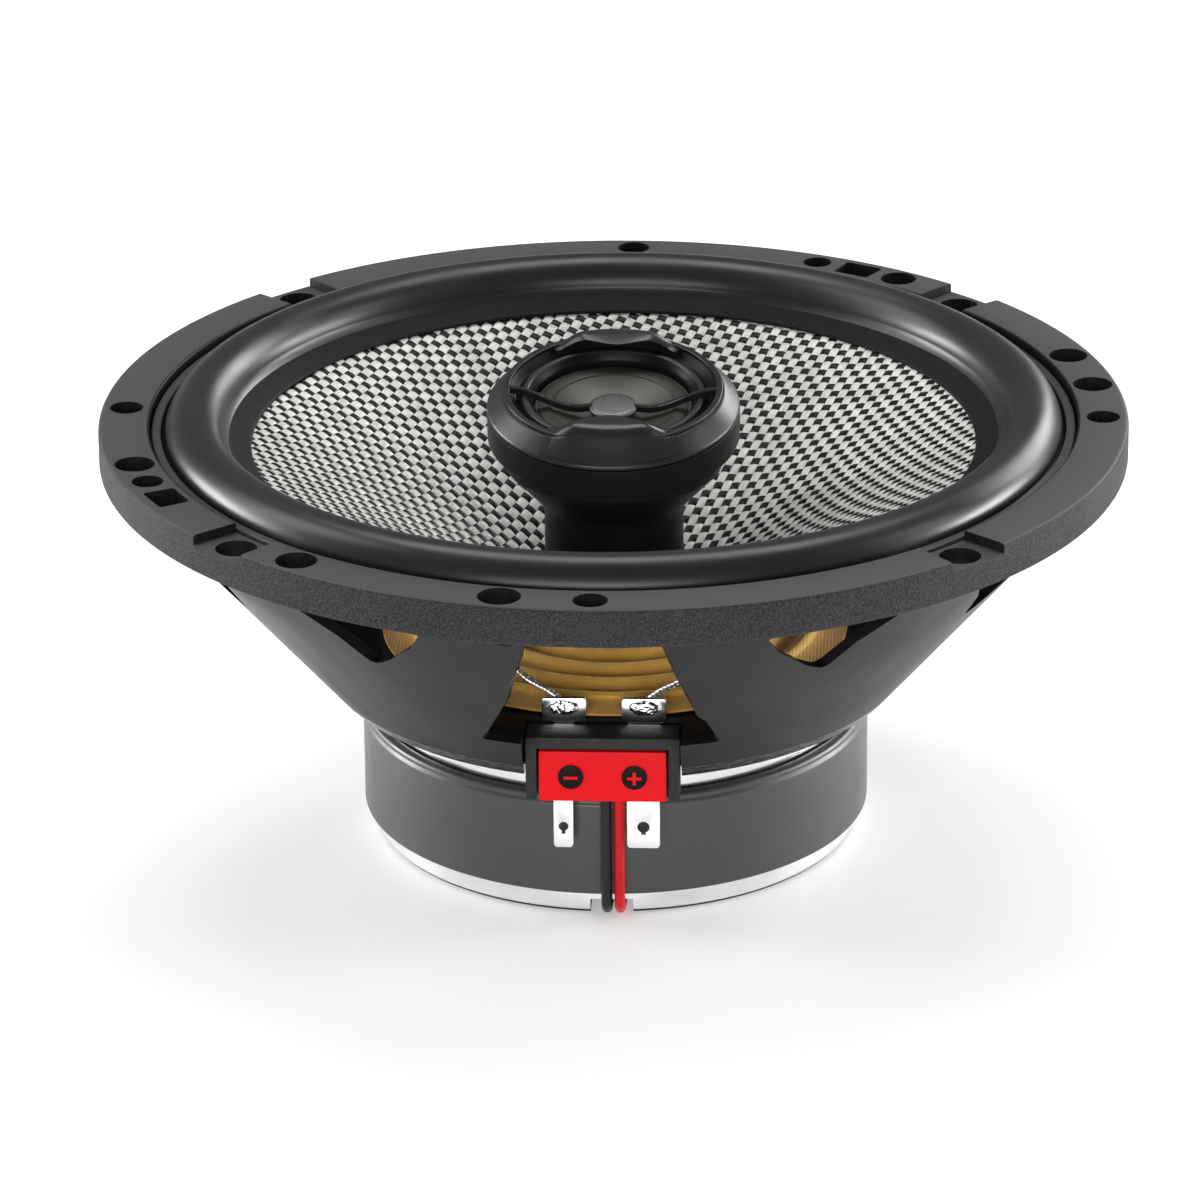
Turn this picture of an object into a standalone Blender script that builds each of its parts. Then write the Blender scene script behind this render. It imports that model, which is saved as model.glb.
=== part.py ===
"""Coaxial car speaker of the 165 mm class: a woven cone with a swivel tweeter on a centre post.

Every size below is in millimetres and is turned into metres when a mesh is made. The origin is on
the speaker's axis at the bottom of the magnet, +Z points out of the cone and the terminals face -Y.
Azimuths are in degrees from the terminals, positive towards +X.
"""
import math

import bmesh
import bpy
from mathutils import Vector

MM = 0.001
GAP = 0.3

# Flange and basket
FLANGE_R = 82.5
FLANGE_TOP = 70.4
FLANGE_BASE = 64.2
FLANGE_INNER_R = 74.4
SCREW_R = 78.4
BASKET_BOTTOM = 25.6
BASKET_FLOOR = 27.6
BASKET_BOTTOM_R = 45.1
BASKET_NECK_R = 76.4
BASKET_NECK_Z = 62.4
BASKET_WALL = 2.6
SEAT_R = 70.3
SEAT_Z = 67.2
LEDGE_R = 34.0
LEDGE_TOP = 33.3
LEDGE_BASE = 31.5
RECESS_DEPTH = 1.6
RECESS_HALF_DEG = 3.9
# Holes through the flange as (azimuth, diameter), and the azimuths of its square clip slots
SCREW_HOLES = [(quarter * 90.0, 5.4) for quarter in range(4)]
RECESS_HOLES = [(45.0 + quarter * 90.0, 6.5) for quarter in range(4)]
CLIP_HOLES = [(-10.1, 6.7), (-35.4, 6.5), (100.8, 6.4), (110.8, 6.3)]
CLIP_HOLES += [(-71.6, 6.4), (-65.9, 5.0), (144.7, 6.0), (156.3, 4.8)]
CLIP_SLOTS = (-60.3, 150.6)
SLOT_INNER_R = 75.6
SLOT_OUTER_R = 80.8
SLOT_HALF_DEG = 2.4
# Half widths in degrees of each tall window at its heights, and the corners of each small window
WINDOW_HALF = ((20.6, 34.8), (14.6, 43.0), (10.8, 52.0), (7.6, 63.0))
SMALL_WINDOW = ((20.4, 61.0), (38.6, 61.0), (31.6, 50.2), (27.6, 52.6))
NOTCH_HALF_X = 12.4
NOTCH_BACK_Y = -37.4

# Motor
MAGNET_R = 39.0
PLATE_TOP = 5.0
MAGNET_TOP = 20.0
TOP_PLATE_TOP = 25.3
POLE_R = 12.3
TOP_PLATE_BORE = 14.4
BOOT_R = 41.1
BOOT_BASE = 4.3
RIVET_CIRCLE_R = 30.0
RIVET_R = 1.5
RIVET_COUNT = 6

# Moving assembly
FORMER_R = 12.7
FORMER_WALL = 0.3
CONE_NECK_Z = 40.0
CONE_NECK_R = 14.0
CONE_EDGE_R = 58.0
CONE_RISE = 32.5
CONE_CURVE = -7.0
ROLL_CENTRE_R = 67.2
ROLL_HALF_WIDTH = 4.8
ROLL_BASE_Z = 68.2
ROLL_HEIGHT = 5.1
SPIDER_Z = 34.6
SPIDER_WAVES = 5

# Tweeter
POST_R = 11.2
PIVOT_Z = 70.0
REST_TILT_DEG = 9.0
BALL_R = 15.6
LINER_INNER_R = 15.9
LINER_OUTER_R = 16.8
SOCKET_R = 17.1

# Terminals
TERMINAL_FRONT_Y = -45.0
HOUSING_HALF_X = 12.1
TERMINAL_X = 6.3
TERMINAL_FACE_Z = 26.6
BLOCK_BASE = 22.4
TAB_STEP = 0.2
STRIP = 0.8

# Heights that every cutter of the flange and radii that every cutter of the wall runs past
CUT_BELOW = 60.0
CUT_ABOVE = 75.0
CUT_INSIDE_R = 50.0
CUT_OUTSIDE_R = 92.0

# Facets round each turned piece
FINE = 48
MEDIUM = 32
SMALL = 24


def clear_scene():
    for item in list(bpy.data.objects):
        bpy.data.objects.remove(item)


def finish(name, colour, roughness, metallic=0.0):
    """Make a named material for one piece."""
    material = bpy.data.materials.new(name)
    material.use_nodes = True
    shader = material.node_tree.nodes["Principled BSDF"]
    shader.inputs["Base Color"].default_value = (*colour, 1.0)
    shader.inputs["Roughness"].default_value = roughness
    shader.inputs["Metallic"].default_value = metallic
    return material


def add_piece(name, shape, look, parent=None):
    """Close a bmesh, turn its faces outwards and add it to the scene as one named object."""
    bmesh.ops.recalc_face_normals(shape, faces=shape.faces)
    mesh = bpy.data.meshes.new(name)
    shape.to_mesh(mesh)
    shape.free()
    mesh.shade_smooth()
    mesh.set_sharp_from_angle(angle=math.radians(35))
    piece = bpy.data.objects.new(name, mesh)
    if look is not None:
        mesh.materials.append(finish(name, *look))
    piece.parent = parent
    bpy.context.scene.collection.objects.link(piece)
    return piece


def add_helper(name, shape, parent=None):
    """Add a shape that only cuts or joins other pieces."""
    helper = add_piece(name, shape, None, parent)
    helper.hide_render = True
    helper.display_type = "WIRE"
    return helper


def combine(piece, helper, operation):
    modifier = piece.modifiers.new(helper.name, "BOOLEAN")
    modifier.operation = operation
    modifier.solver = "EXACT"
    modifier.object = helper


def turn(shape, outline, steps, centre=(0.0, 0.0), phase=0.0):
    """Add a solid turned about a vertical axis from its closed outline of (radius, height) points.

    A phase of 0.5 turns its facets by half a step, so that a cutter's corners miss the edges it cuts.
    """
    rings = []
    for radius, height in outline:
        count = 1 if radius == 0 else steps
        ring = []
        for step in range(count):
            angle = math.tau * (step + phase) / steps
            x = centre[0] + radius * math.cos(angle)
            y = centre[1] + radius * math.sin(angle)
            ring.append(shape.verts.new(Vector((x, y, height)) * MM))
        rings.append(ring)
    for index, ring in enumerate(rings):
        follower = rings[(index + 1) % len(rings)]
        if len(ring) == 1 and len(follower) == 1:
            continue
        for step in range(steps):
            after = (step + 1) % steps
            corners = [
                ring[step % len(ring)],
                ring[after % len(ring)],
                follower[after % len(follower)],
                follower[step % len(follower)],
            ]
            shape.faces.new(list(dict.fromkeys(corners)))


def turned(name, outline, steps, look, parent=None, centre=(0.0, 0.0)):
    shape = bmesh.new()
    turn(shape, outline, steps, centre)
    return add_piece(name, shape, look, parent)


def prism(shape, lower, upper):
    """Add a solid between two matching loops of points."""
    bottom = [shape.verts.new(Vector(point) * MM) for point in lower]
    top = [shape.verts.new(Vector(point) * MM) for point in upper]
    shape.faces.new(bottom[::-1])
    shape.faces.new(top)
    for index in range(len(bottom)):
        after = (index + 1) % len(bottom)
        shape.faces.new([bottom[index], bottom[after], top[after], top[index]])


def block(shape, low, high):
    """Add a box between its lowest and highest corners."""
    x0, y0, z0 = low
    x1, y1, z1 = high
    lower = [(x0, y0, z0), (x1, y0, z0), (x1, y1, z0), (x0, y1, z0)]
    upper = [(x, y, z1) for x, y, _ in lower]
    prism(shape, lower, upper)


def around(radius, azimuth_deg, height):
    """Return the point at a radius and an azimuth counted from the terminals."""
    angle = math.radians(azimuth_deg)
    return (radius * math.sin(angle), -radius * math.cos(angle), height)


def arc(radius, start_deg, end_deg, count, centre=(0.0, 0.0)):
    """Return points on an arc in the (radius, height) plane, angles counted from +radius."""
    points = []
    for step in range(count + 1):
        angle = math.radians(start_deg + (end_deg - start_deg) * step / count)
        points.append((centre[0] + radius * math.cos(angle), centre[1] + radius * math.sin(angle)))
    return points


def wall_radius(height):
    """Return the radius of the basket's sloping outer wall at a height."""
    share = (height - BASKET_BOTTOM) / (BASKET_NECK_Z - BASKET_BOTTOM)
    return BASKET_BOTTOM_R + share * (BASKET_NECK_R - BASKET_BOTTOM_R)


def wall_height(radius):
    """Return the height at which the basket's sloping outer wall has a radius."""
    share = (radius - BASKET_BOTTOM_R) / (BASKET_NECK_R - BASKET_BOTTOM_R)
    return BASKET_BOTTOM + share * (BASKET_NECK_Z - BASKET_BOTTOM)


def basket_outline():
    return [
        (FLANGE_INNER_R, FLANGE_TOP),
        (FLANGE_R - 0.5, FLANGE_TOP),
        (FLANGE_R, FLANGE_TOP - 0.5),
        (FLANGE_R, FLANGE_BASE + 0.5),
        (FLANGE_R - 0.5, FLANGE_BASE),
        (BASKET_NECK_R + 1.0, FLANGE_BASE),
        (BASKET_NECK_R, BASKET_NECK_Z),
        (BASKET_BOTTOM_R, BASKET_BOTTOM),
        (19.5, BASKET_BOTTOM),
        (19.5, BASKET_FLOOR),
        (wall_radius(BASKET_FLOOR) - BASKET_WALL, BASKET_FLOOR),
        (wall_radius(LEDGE_BASE) - BASKET_WALL, LEDGE_BASE),
        (LEDGE_R, LEDGE_BASE),
        (LEDGE_R, LEDGE_TOP),
        (wall_radius(LEDGE_TOP) - BASKET_WALL, LEDGE_TOP),
        (SEAT_R, wall_height(SEAT_R + BASKET_WALL)),
        (SEAT_R, SEAT_Z),
        (FLANGE_INNER_R, SEAT_Z),
    ]


def radial_cut(shape, corners):
    """Add a cutter that runs outwards through (azimuth, height) corners."""
    inner = [around(CUT_INSIDE_R, azimuth, height) for azimuth, height in corners]
    outer = [around(CUT_OUTSIDE_R, azimuth, height) for azimuth, height in corners]
    prism(shape, inner, outer)


def window_cutters():
    """Make the four tall windows and the eight small three-cornered ones beside them."""
    shape = bmesh.new()
    for quarter in range(4):
        centre = 90.0 * quarter
        left = [(centre - half, height) for half, height in WINDOW_HALF]
        right = [(centre + half, height) for half, height in reversed(WINDOW_HALF)]
        radial_cut(shape, left + right)
        for side in (-1, 1):
            corners = [(centre + side * azimuth, height) for azimuth, height in SMALL_WINDOW]
            radial_cut(shape, corners)
    return add_helper("window_cutters", shape)


def flange_cutters():
    """Make the screw holes and the clip slots of the flange."""
    shape = bmesh.new()
    for azimuth, width in SCREW_HOLES + RECESS_HOLES + CLIP_HOLES:
        x, y, _ = around(SCREW_R, azimuth, 0.0)
        radius = width / 2
        outline = [(0, CUT_ABOVE), (radius, CUT_ABOVE), (radius, CUT_BELOW), (0, CUT_BELOW)]
        turn(shape, outline, 12, (x, y), 0.5)
    for azimuth in CLIP_SLOTS:
        corners = [(SLOT_INNER_R, -SLOT_HALF_DEG), (SLOT_OUTER_R, -SLOT_HALF_DEG)]
        corners += [(SLOT_OUTER_R, SLOT_HALF_DEG), (SLOT_INNER_R, SLOT_HALF_DEG)]
        lower = [around(radius, azimuth + offset, CUT_BELOW) for radius, offset in corners]
        upper = [(x, y, CUT_ABOVE) for x, y, _ in lower]
        prism(shape, lower, upper)
    return add_helper("flange_hole_cutters", shape)


def recess_cutters():
    """Make the four shallow recesses in the top of the flange."""
    shape = bmesh.new()
    for quarter in range(4):
        centre = 45.0 + 90.0 * quarter
        corners = [(72.0, -RECESS_HALF_DEG), (86.0, -RECESS_HALF_DEG)]
        corners += [(86.0, RECESS_HALF_DEG), (72.0, RECESS_HALF_DEG)]
        lower = [around(radius, centre + offset, FLANGE_TOP - RECESS_DEPTH) for radius, offset in corners]
        upper = [(x, y, CUT_ABOVE) for x, y, _ in lower]
        prism(shape, lower, upper)
    return add_helper("recess_cutters", shape)


def rivet_places():
    """Give each rivet's index and place on its circle."""
    for index in range(RIVET_COUNT):
        yield index, around(RIVET_CIRCLE_R, index * 360.0 / RIVET_COUNT, 0.0)


def rivet_hole_cutters():
    shape = bmesh.new()
    for _, (x, y, _) in rivet_places():
        radius = RIVET_R + GAP
        turn(shape, [(0, 30.0), (radius, 30.0), (radius, 21.4), (0, 21.4)], 12, (x, y), 0.5)
    return add_helper("rivet_hole_cutters", shape)


def terminal_notch():
    shape = bmesh.new()
    block(shape, (-NOTCH_HALF_X, -60.0, 20.0), (NOTCH_HALF_X, NOTCH_BACK_Y, 36.0))
    return add_helper("terminal_notch", shape)


def build_basket(rivet_holes):
    look = ((0.035, 0.036, 0.038), 0.55, 0.3)
    basket = turned("basket", basket_outline(), FINE, look)
    combine(basket, window_cutters(), "DIFFERENCE")
    combine(basket, terminal_notch(), "DIFFERENCE")
    combine(basket, recess_cutters(), "DIFFERENCE")
    combine(basket, rivet_holes, "DIFFERENCE")
    combine(basket, flange_cutters(), "DIFFERENCE")
    outline = [(72.5, 69.3), (74.0, 69.3), (74.0, 68.4), (72.5, 68.4)]
    turned("surround_clamp_ring", outline, FINE, ((0.05, 0.05, 0.052), 0.4))


def build_rivets():
    look = ((0.75, 0.75, 0.76), 0.3, 1.0)
    for index, (x, y, _) in rivet_places():
        seat = 29.4 if index == 0 else BASKET_FLOOR + GAP
        outline = [(0, seat + 1.1), (1.9, seat + 1.0), (2.8, seat + 0.2), (2.8, seat)]
        outline += [(RIVET_R, seat), (RIVET_R, 21.8), (0, 21.8)]
        turned(f"basket_rivet_{index + 1}", outline, 8, look, centre=(x, y))


def wire_groove():
    """Make the channel under the back plate that leads the tweeter's wires to the hollow pole."""
    shape = bmesh.new()
    block(shape, (-2.4, -45.0, -1.0), (4.4, -4.0, 2.6))
    return add_helper("wire_groove", shape)


def build_motor(rivet_holes):
    zinc = ((0.78, 0.79, 0.80), 0.22, 1.0)
    outline = [(4.4, TOP_PLATE_TOP), (POLE_R, TOP_PLATE_TOP), (POLE_R, PLATE_TOP)]
    outline += [(MAGNET_R + 0.1, PLATE_TOP), (MAGNET_R + 0.1, 0.8), (MAGNET_R - 0.7, 0)]
    outline += [(8.4, 0), (8.4, 4.9), (4.4, 4.9)]
    back_plate = turned("back_plate_and_pole", outline, MEDIUM, zinc)
    combine(back_plate, wire_groove(), "DIFFERENCE")
    low = PLATE_TOP + GAP
    outline = [(17.0, MAGNET_TOP), (MAGNET_R, MAGNET_TOP), (MAGNET_R, low), (17.0, low)]
    turned("ferrite_magnet", outline, MEDIUM, ((0.06, 0.06, 0.065), 0.7))
    low = MAGNET_TOP + GAP
    outline = [(TOP_PLATE_BORE, TOP_PLATE_TOP), (MAGNET_R - 0.4, TOP_PLATE_TOP)]
    outline += [(MAGNET_R, TOP_PLATE_TOP - 0.4), (MAGNET_R, low), (TOP_PLATE_BORE, low)]
    top_plate = turned("top_plate", outline, MEDIUM, zinc)
    combine(top_plate, rivet_holes, "DIFFERENCE")
    outline = [(39.4, 21.9), (40.5, 21.6), (BOOT_R, 20.6), (BOOT_R, BOOT_BASE)]
    outline += [(39.4, BOOT_BASE)]
    turned("magnet_boot", outline, MEDIUM, ((0.03, 0.03, 0.032), 0.45))


def cone_height(radius):
    share = (radius - CONE_NECK_R) / (CONE_EDGE_R - CONE_NECK_R)
    return CONE_NECK_Z + CONE_RISE * share + CONE_CURVE * share * share


def build_cone():
    radii = [62.0, CONE_EDGE_R, 44.0, 30.0, CONE_NECK_R, FORMER_R + FORMER_WALL + GAP]
    upper = [(radius, cone_height(radius)) for radius in radii]
    lower = [(radius, height - 0.6) for radius, height in reversed(upper)]
    turned("cone", upper[::-1] + lower[::-1], FINE, ((0.45, 0.44, 0.42), 0.4))
    outer = FORMER_R + FORMER_WALL
    outline = [(FORMER_R, 42.6), (outer, 42.6), (outer, 17.5), (FORMER_R, 17.5)]
    turned("voice_coil_former", outline, SMALL, ((0.35, 0.2, 0.08), 0.5))
    outline = [(outer + GAP, 26.8), (outer + 0.9, 26.8), (outer + 0.9, 18.8), (outer + GAP, 18.8)]
    turned("voice_coil", outline, SMALL, ((0.72, 0.32, 0.12), 0.35, 1.0))


def roll(width, height, count):
    """Return points over the surround's roll from its outer foot to its inner foot."""
    points = []
    for step in range(count + 1):
        angle = math.pi * step / count
        radius = ROLL_CENTRE_R + width * math.cos(angle)
        points.append((radius, ROLL_BASE_Z + height * math.sin(angle)))
    return points


def build_surround():
    over = roll(ROLL_HALF_WIDTH, ROLL_HEIGHT, 6)
    under = roll(ROLL_HALF_WIDTH - 0.8, ROLL_HEIGHT - 0.8, 4)
    inner_edge = CONE_EDGE_R + 0.1
    lip_top = cone_height(inner_edge) + GAP + 0.5
    outline = [(74.0, 67.5), (74.0, 68.1), (72.4, 68.1)]
    outline += over
    outline += [(inner_edge, lip_top), (inner_edge, lip_top - 0.5)]
    outline += [(61.6, cone_height(61.6) + GAP), (62.6, 67.5)]
    outline += under[::-1]
    outline += [(71.5, 67.5)]
    turned("surround", outline, FINE, ((0.03, 0.03, 0.032), 0.45))


def build_spider():
    start = FORMER_R + FORMER_WALL + GAP
    end = 33.6
    upper = [(start, SPIDER_Z)]
    for step in range(1, 2 * SPIDER_WAVES):
        swing = 0.8 if step % 2 else -0.8
        upper.append((start + 0.5 + (end - start) * step / (2 * SPIDER_WAVES), SPIDER_Z + swing))
    upper += [(end + 1.0, LEDGE_TOP + GAP + 0.5), (37.7, LEDGE_TOP + GAP + 0.5)]
    lower = [(radius, height - 0.5) for radius, height in reversed(upper)]
    turned("spider", upper + lower, SMALL, ((0.62, 0.42, 0.12), 0.7))


def build_post():
    """Make the hollow centre post, its spigot through the pole and the cup for the tweeter's ball."""
    cup = arc(SOCKET_R, -58.2, -25.6, 4, (0.0, PIVOT_Z))
    outline = [(17.4, 62.6), (17.5, 61.7), (14.7, 58.8), (POST_R, 55.0), (POST_R, 25.6), (4.1, 25.6)]
    outline += [(4.1, 3.3), (2.7, 3.3), (2.7, 27.0), (9.0, 29.0)]
    outline += cup
    turned("tweeter_post", outline, SMALL, ((0.02, 0.02, 0.021), 0.35))
    outline = [(5.1, 4.6), (7.6, 4.6), (7.6, 3.1), (5.1, 3.1)]
    turned("post_nut", outline, 6, ((0.7, 0.7, 0.68), 0.35, 1.0))


def build_capacitor():
    outline = [(0, 48.0), (3.8, 48.0), (4.2, 47.5), (4.2, 36.5), (3.8, 36.0), (0, 36.0)]
    look = ((0.55, 0.32, 0.05), 0.4)
    turned("crossover_capacitor", outline, 16, look, centre=(3.6, 0.0))
    outline = [(0, 54.4), (0.45, 54.4), (0.45, 48.3), (0, 48.3)]
    look = ((0.75, 0.75, 0.75), 0.3, 1.0)
    turned("capacitor_lead", outline, 8, look, centre=(3.6, 0.0))


def add_pivot():
    """Add the empty on the ball's centre that holds the tweeter at its rest tilt."""
    pivot = bpy.data.objects.new("tweeter_pivot", None)
    pivot.location = (0.0, 0.0, PIVOT_Z * MM)
    pivot.rotation_euler = (math.radians(REST_TILT_DEG), 0.0, 0.0)
    bpy.context.scene.collection.objects.link(pivot)
    return pivot


def build_ball_liner(pivot):
    """Make the friction liner between the post's cup and the head's ball."""
    outer = arc(LINER_OUTER_R, -33.0, -56.0, 4)
    inner = arc(LINER_INNER_R, -56.0, -33.0, 4)
    turned("ball_friction_liner", outer + inner, SMALL, ((0.5, 0.5, 0.48), 0.6), pivot)


def build_head_shell(pivot):
    """Make the swivelling shell: a ball below, a short wall outside and a pocket for the motor."""
    ball = arc(BALL_R, -7.5, -54.0, 5)
    outline = [(12.6, 1.2), (20.3, 1.2), (20.3, -3.8), (19.3, -3.8), (19.3, -2.0)]
    outline += ball
    outline += [(3.0, ball[-1][1]), (3.0, -9.4), (12.0, -9.4), (12.0, 0.8), (12.6, 0.8)]
    turned("tweeter_head_shell", outline, MEDIUM, ((0.02, 0.02, 0.021), 0.35), pivot)


def build_bezel(pivot):
    outline = [(20.3, 1.5), (20.3, 1.9), (19.8, 2.5), (17.9, 4.5), (16.5, 4.3), (15.3, 2.9)]
    outline += [(14.5, 4.1), (13.8, 4.1), (12.9, 2.9), (12.9, 1.5)]
    turned("tweeter_bezel", outline, MEDIUM, ((0.03, 0.03, 0.031), 0.3), pivot)


def petal(shape, middle_deg, half_deg, section, steps):
    """Add a curved lobe of the grille from its section of (radius, height) points."""
    loops = []
    for step in range(steps + 1):
        share = 2.0 * step / steps - 1.0
        taper = 1.0 - share * share
        loop = []
        for radius, height, reach in section:
            x, y, z = around(radius - reach * taper, middle_deg + half_deg * share, height)
            loop.append(shape.verts.new(Vector((x, y, z)) * MM))
        loops.append(loop)
    shape.faces.new(loops[0][::-1])
    shape.faces.new(loops[-1])
    for first, second in zip(loops, loops[1:]):
        for index in range(len(first)):
            after = (index + 1) % len(first)
            shape.faces.new([first[index], first[after], second[after], second[index]])


def build_grille(pivot):
    """Make the grille: a rim, a front and a back lobe, two bars and the disc they hold."""
    outline = [(17.6, 5.1), (17.6, 4.8), (16.6, 4.7), (16.6, 5.1)]
    grille = turned("tweeter_grille", outline, MEDIUM, ((0.02, 0.02, 0.021), 0.25), pivot)
    section = [(17.4, 5.6, 0.0), (16.3, 6.9, 0.3), (15.9, 6.7, 3.2), (16.1, 5.5, 3.2), (17.3, 4.9, 0.0)]
    for name, middle in (("front_lobe", 0.0), ("back_lobe", 180.0)):
        shape = bmesh.new()
        petal(shape, middle, 38.0, section, 9)
        combine(grille, add_helper(name, shape, pivot), "UNION")
    shape = bmesh.new()
    profile = [(17.0, 4.73), (12.6, 4.45), (7.5, 2.5), (3.0, 1.2)]
    profile += [(3.0, 1.9), (7.3, 3.2), (12.4, 5.0), (17.0, 5.05)]
    for side in (-1, 1):
        near = [(side * x, -0.5, z) for x, z in profile]
        far = [(side * x, 0.5, z) for x, z in profile]
        prism(shape, near, far)
    combine(grille, add_helper("grille_bars", shape, pivot), "UNION")
    shape = bmesh.new()
    turn(shape, [(0, 2.05), (3.6, 2.05), (3.95, 1.75), (3.95, 1.1), (0, 1.1)], SMALL)
    combine(grille, add_helper("grille_disc", shape, pivot), "UNION")


def bowl(edge_r, edge_z, centre_z, count):
    """Return points down a shallow bowl from its edge to its centre."""
    points = []
    for step in range(count + 1):
        share = 1.0 - step / count
        points.append((edge_r * share, centre_z + (edge_z - centre_z) * share * share))
    return points


def build_tweeter_motor(pivot):
    steel = ((0.6, 0.6, 0.6), 0.35, 1.0)
    outline = [(10.3, -1.6), (11.6, -1.6), (11.6, -9.1), (0, -9.1), (0, -7.6), (10.3, -7.6)]
    turned("tweeter_yoke", outline, SMALL, steel, pivot)
    outline = [(0, -4.2), (7.4, -4.2), (7.4, -7.3), (0, -7.3)]
    turned("tweeter_magnet", outline, SMALL, ((0.7, 0.7, 0.72), 0.3, 1.0), pivot)
    outline = [(0, -2.3), (7.8, -2.3), (7.8, -3.9), (0, -3.9)]
    turned("tweeter_pole_plate", outline, SMALL, steel, pivot)


def build_tweeter_diaphragm(pivot):
    upper = bowl(9.8, 1.7, -0.9, 5)
    lower = [(radius, height - 0.25) for radius, height in reversed(upper)]
    turned("tweeter_dome", upper + lower, SMALL, ((0.3, 0.3, 0.26), 0.35, 0.8), pivot)
    outline = [(8.6, 0.6), (9.1, 0.6), (9.1, -3.8), (8.6, -3.8)]
    turned("tweeter_voice_coil", outline, SMALL, ((0.72, 0.32, 0.12), 0.35, 1.0), pivot)
    outline = [(10.1, 1.5), (10.1, 1.75), (10.7, 2.2), (11.5, 2.2), (12.1, 1.75), (12.5, 1.75)]
    outline += [(12.5, 1.5), (11.9, 1.5), (11.4, 1.95), (10.8, 1.95), (10.4, 1.5)]
    turned("tweeter_suspension", outline, SMALL, ((0.03, 0.03, 0.03), 0.6), pivot)


def strip(name, centre_x, stations, look, hole):
    """Bend a flat metal strip through (y, z, half width) stations and pierce it with a (z, radius) hole."""
    middle = [Vector((y, z)) for y, z, _ in stations]
    runs = [(after - before).normalized() for before, after in zip(middle, middle[1:])]
    shape = bmesh.new()
    loops = []
    for index, (_, _, half) in enumerate(stations):
        arriving = runs[max(index - 1, 0)]
        leaving = runs[min(index, len(runs) - 1)]
        along = (arriving + leaving).normalized()
        normal = Vector((-along.y, along.x)) * (STRIP / 2 / along.dot(arriving))
        loop = []
        for x, side in ((-half, 1), (half, 1), (half, -1), (-half, -1)):
            flat = middle[index] + normal * side
            loop.append(shape.verts.new(Vector((centre_x + x, flat.x, flat.y)) * MM))
        loops.append(loop)
    shape.faces.new(loops[0][::-1])
    shape.faces.new(loops[-1])
    for first, second in zip(loops, loops[1:]):
        for index in range(4):
            after = (index + 1) % 4
            shape.faces.new([first[index], first[after], second[after], second[index]])
    piece = add_piece(name, shape, look)
    cutter = bmesh.new()
    height, radius = hole
    lower = [(centre_x + px, -48.0, height + pz) for px, pz in arc(radius, 0, 330, 11)]
    upper = [(px, -41.0, pz) for px, _, pz in lower]
    prism(cutter, lower, upper)
    combine(piece, add_helper(f"{name}_hole", cutter), "DIFFERENCE")


def build_terminals():
    """Make the black housing, the red block with its polarity marks and both bent terminals."""
    back = -40.8
    shape = bmesh.new()
    block(shape, (-HOUSING_HALF_X, TERMINAL_FRONT_Y, 31.2), (HOUSING_HALF_X, -39.3, 33.0))
    housing = add_piece("terminal_housing", shape, ((0.03, 0.03, 0.03), 0.5))
    walls = {
        "housing_left_wall": ((-HOUSING_HALF_X, TERMINAL_FRONT_Y, 22.5), (-10.4, back, 31.5)),
        "housing_right_wall": ((10.4, TERMINAL_FRONT_Y, 22.5), (HOUSING_HALF_X, back, 31.5)),
        "housing_back_wall": ((-11.0, -42.1, 22.5), (11.0, back, 29.0)),
        "housing_tongue": ((-3.4, -41.5, 27.9), (3.4, -26.5, 29.0)),
    }
    for name, (low, high) in walls.items():
        shape = bmesh.new()
        block(shape, low, high)
        combine(housing, add_helper(name, shape), "UNION")
    shape = bmesh.new()
    _, (x, y, _) = next(rivet_places())
    radius = RIVET_R + GAP
    turn(shape, [(0, 32.0), (radius, 32.0), (radius, 26.0), (0, 26.0)], 12, (x, y))
    combine(housing, add_helper("tongue_hole", shape), "DIFFERENCE")
    shape = bmesh.new()
    block(shape, (-10.0, TERMINAL_FRONT_Y - 0.4, BLOCK_BASE), (10.0, -43.7, 30.9))
    red = add_piece("terminal_block", shape, ((0.75, 0.02, 0.03), 0.35))
    rounding = red.modifiers.new("edges", "BEVEL")
    rounding.width = 0.4 * MM
    rounding.segments = 1
    for name, side, half, radius in (("minus", -1, 1.55, 0.75), ("plus", 1, 2.6, 0.95)):
        build_spade(name, side, half, radius)
        build_mark(name, side * 5.0)


def build_spade(name, side, half, radius):
    """Bend one terminal: a pierced tab below the block, a run behind it and a solder lug on top."""
    tab_y = -43.1
    lug_y = -38.6
    lug_half = 3.5
    path = [(tab_y, 13.6, half - 0.5), (tab_y, 14.2, half), (tab_y, BLOCK_BASE - 0.6, half)]
    path += [(tab_y + TAB_STEP, BLOCK_BASE - 0.2, half), (tab_y + TAB_STEP, 29.8, half)]
    path += [(lug_y, 29.8, half), (lug_y, 33.2, half), (lug_y, 33.6, lug_half), (lug_y, 37.2, lug_half)]
    look = ((0.85, 0.85, 0.86), 0.2, 1.0)
    strip(f"spade_terminal_{name}", side * TERMINAL_X, path, look, (17.2, radius))


def build_mark(name, centre_x):
    """Make a round polarity mark with a plain raised minus or plus sign."""
    front = TERMINAL_FRONT_Y - 0.7
    shape = bmesh.new()
    lower = [(centre_x + x, front, TERMINAL_FACE_Z + z) for x, z in arc(2.0, 0, 345, 23)]
    upper = [(x, front - 0.3, z) for x, _, z in lower]
    prism(shape, lower, upper)
    mark = add_piece(f"polarity_mark_{name}", shape, ((0.02, 0.02, 0.02), 0.4))
    bars = [(1.1, 0.25)] if name == "minus" else [(1.1, 0.25), (0.25, 1.1)]
    for index, (half_x, half_z) in enumerate(bars):
        shape = bmesh.new()
        low = (centre_x - half_x, front - 0.5, TERMINAL_FACE_Z - half_z)
        high = (centre_x + half_x, front - 0.1, TERMINAL_FACE_Z + half_z)
        block(shape, low, high)
        combine(mark, add_helper(f"{name}_sign_bar_{index}", shape), "UNION")


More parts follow.
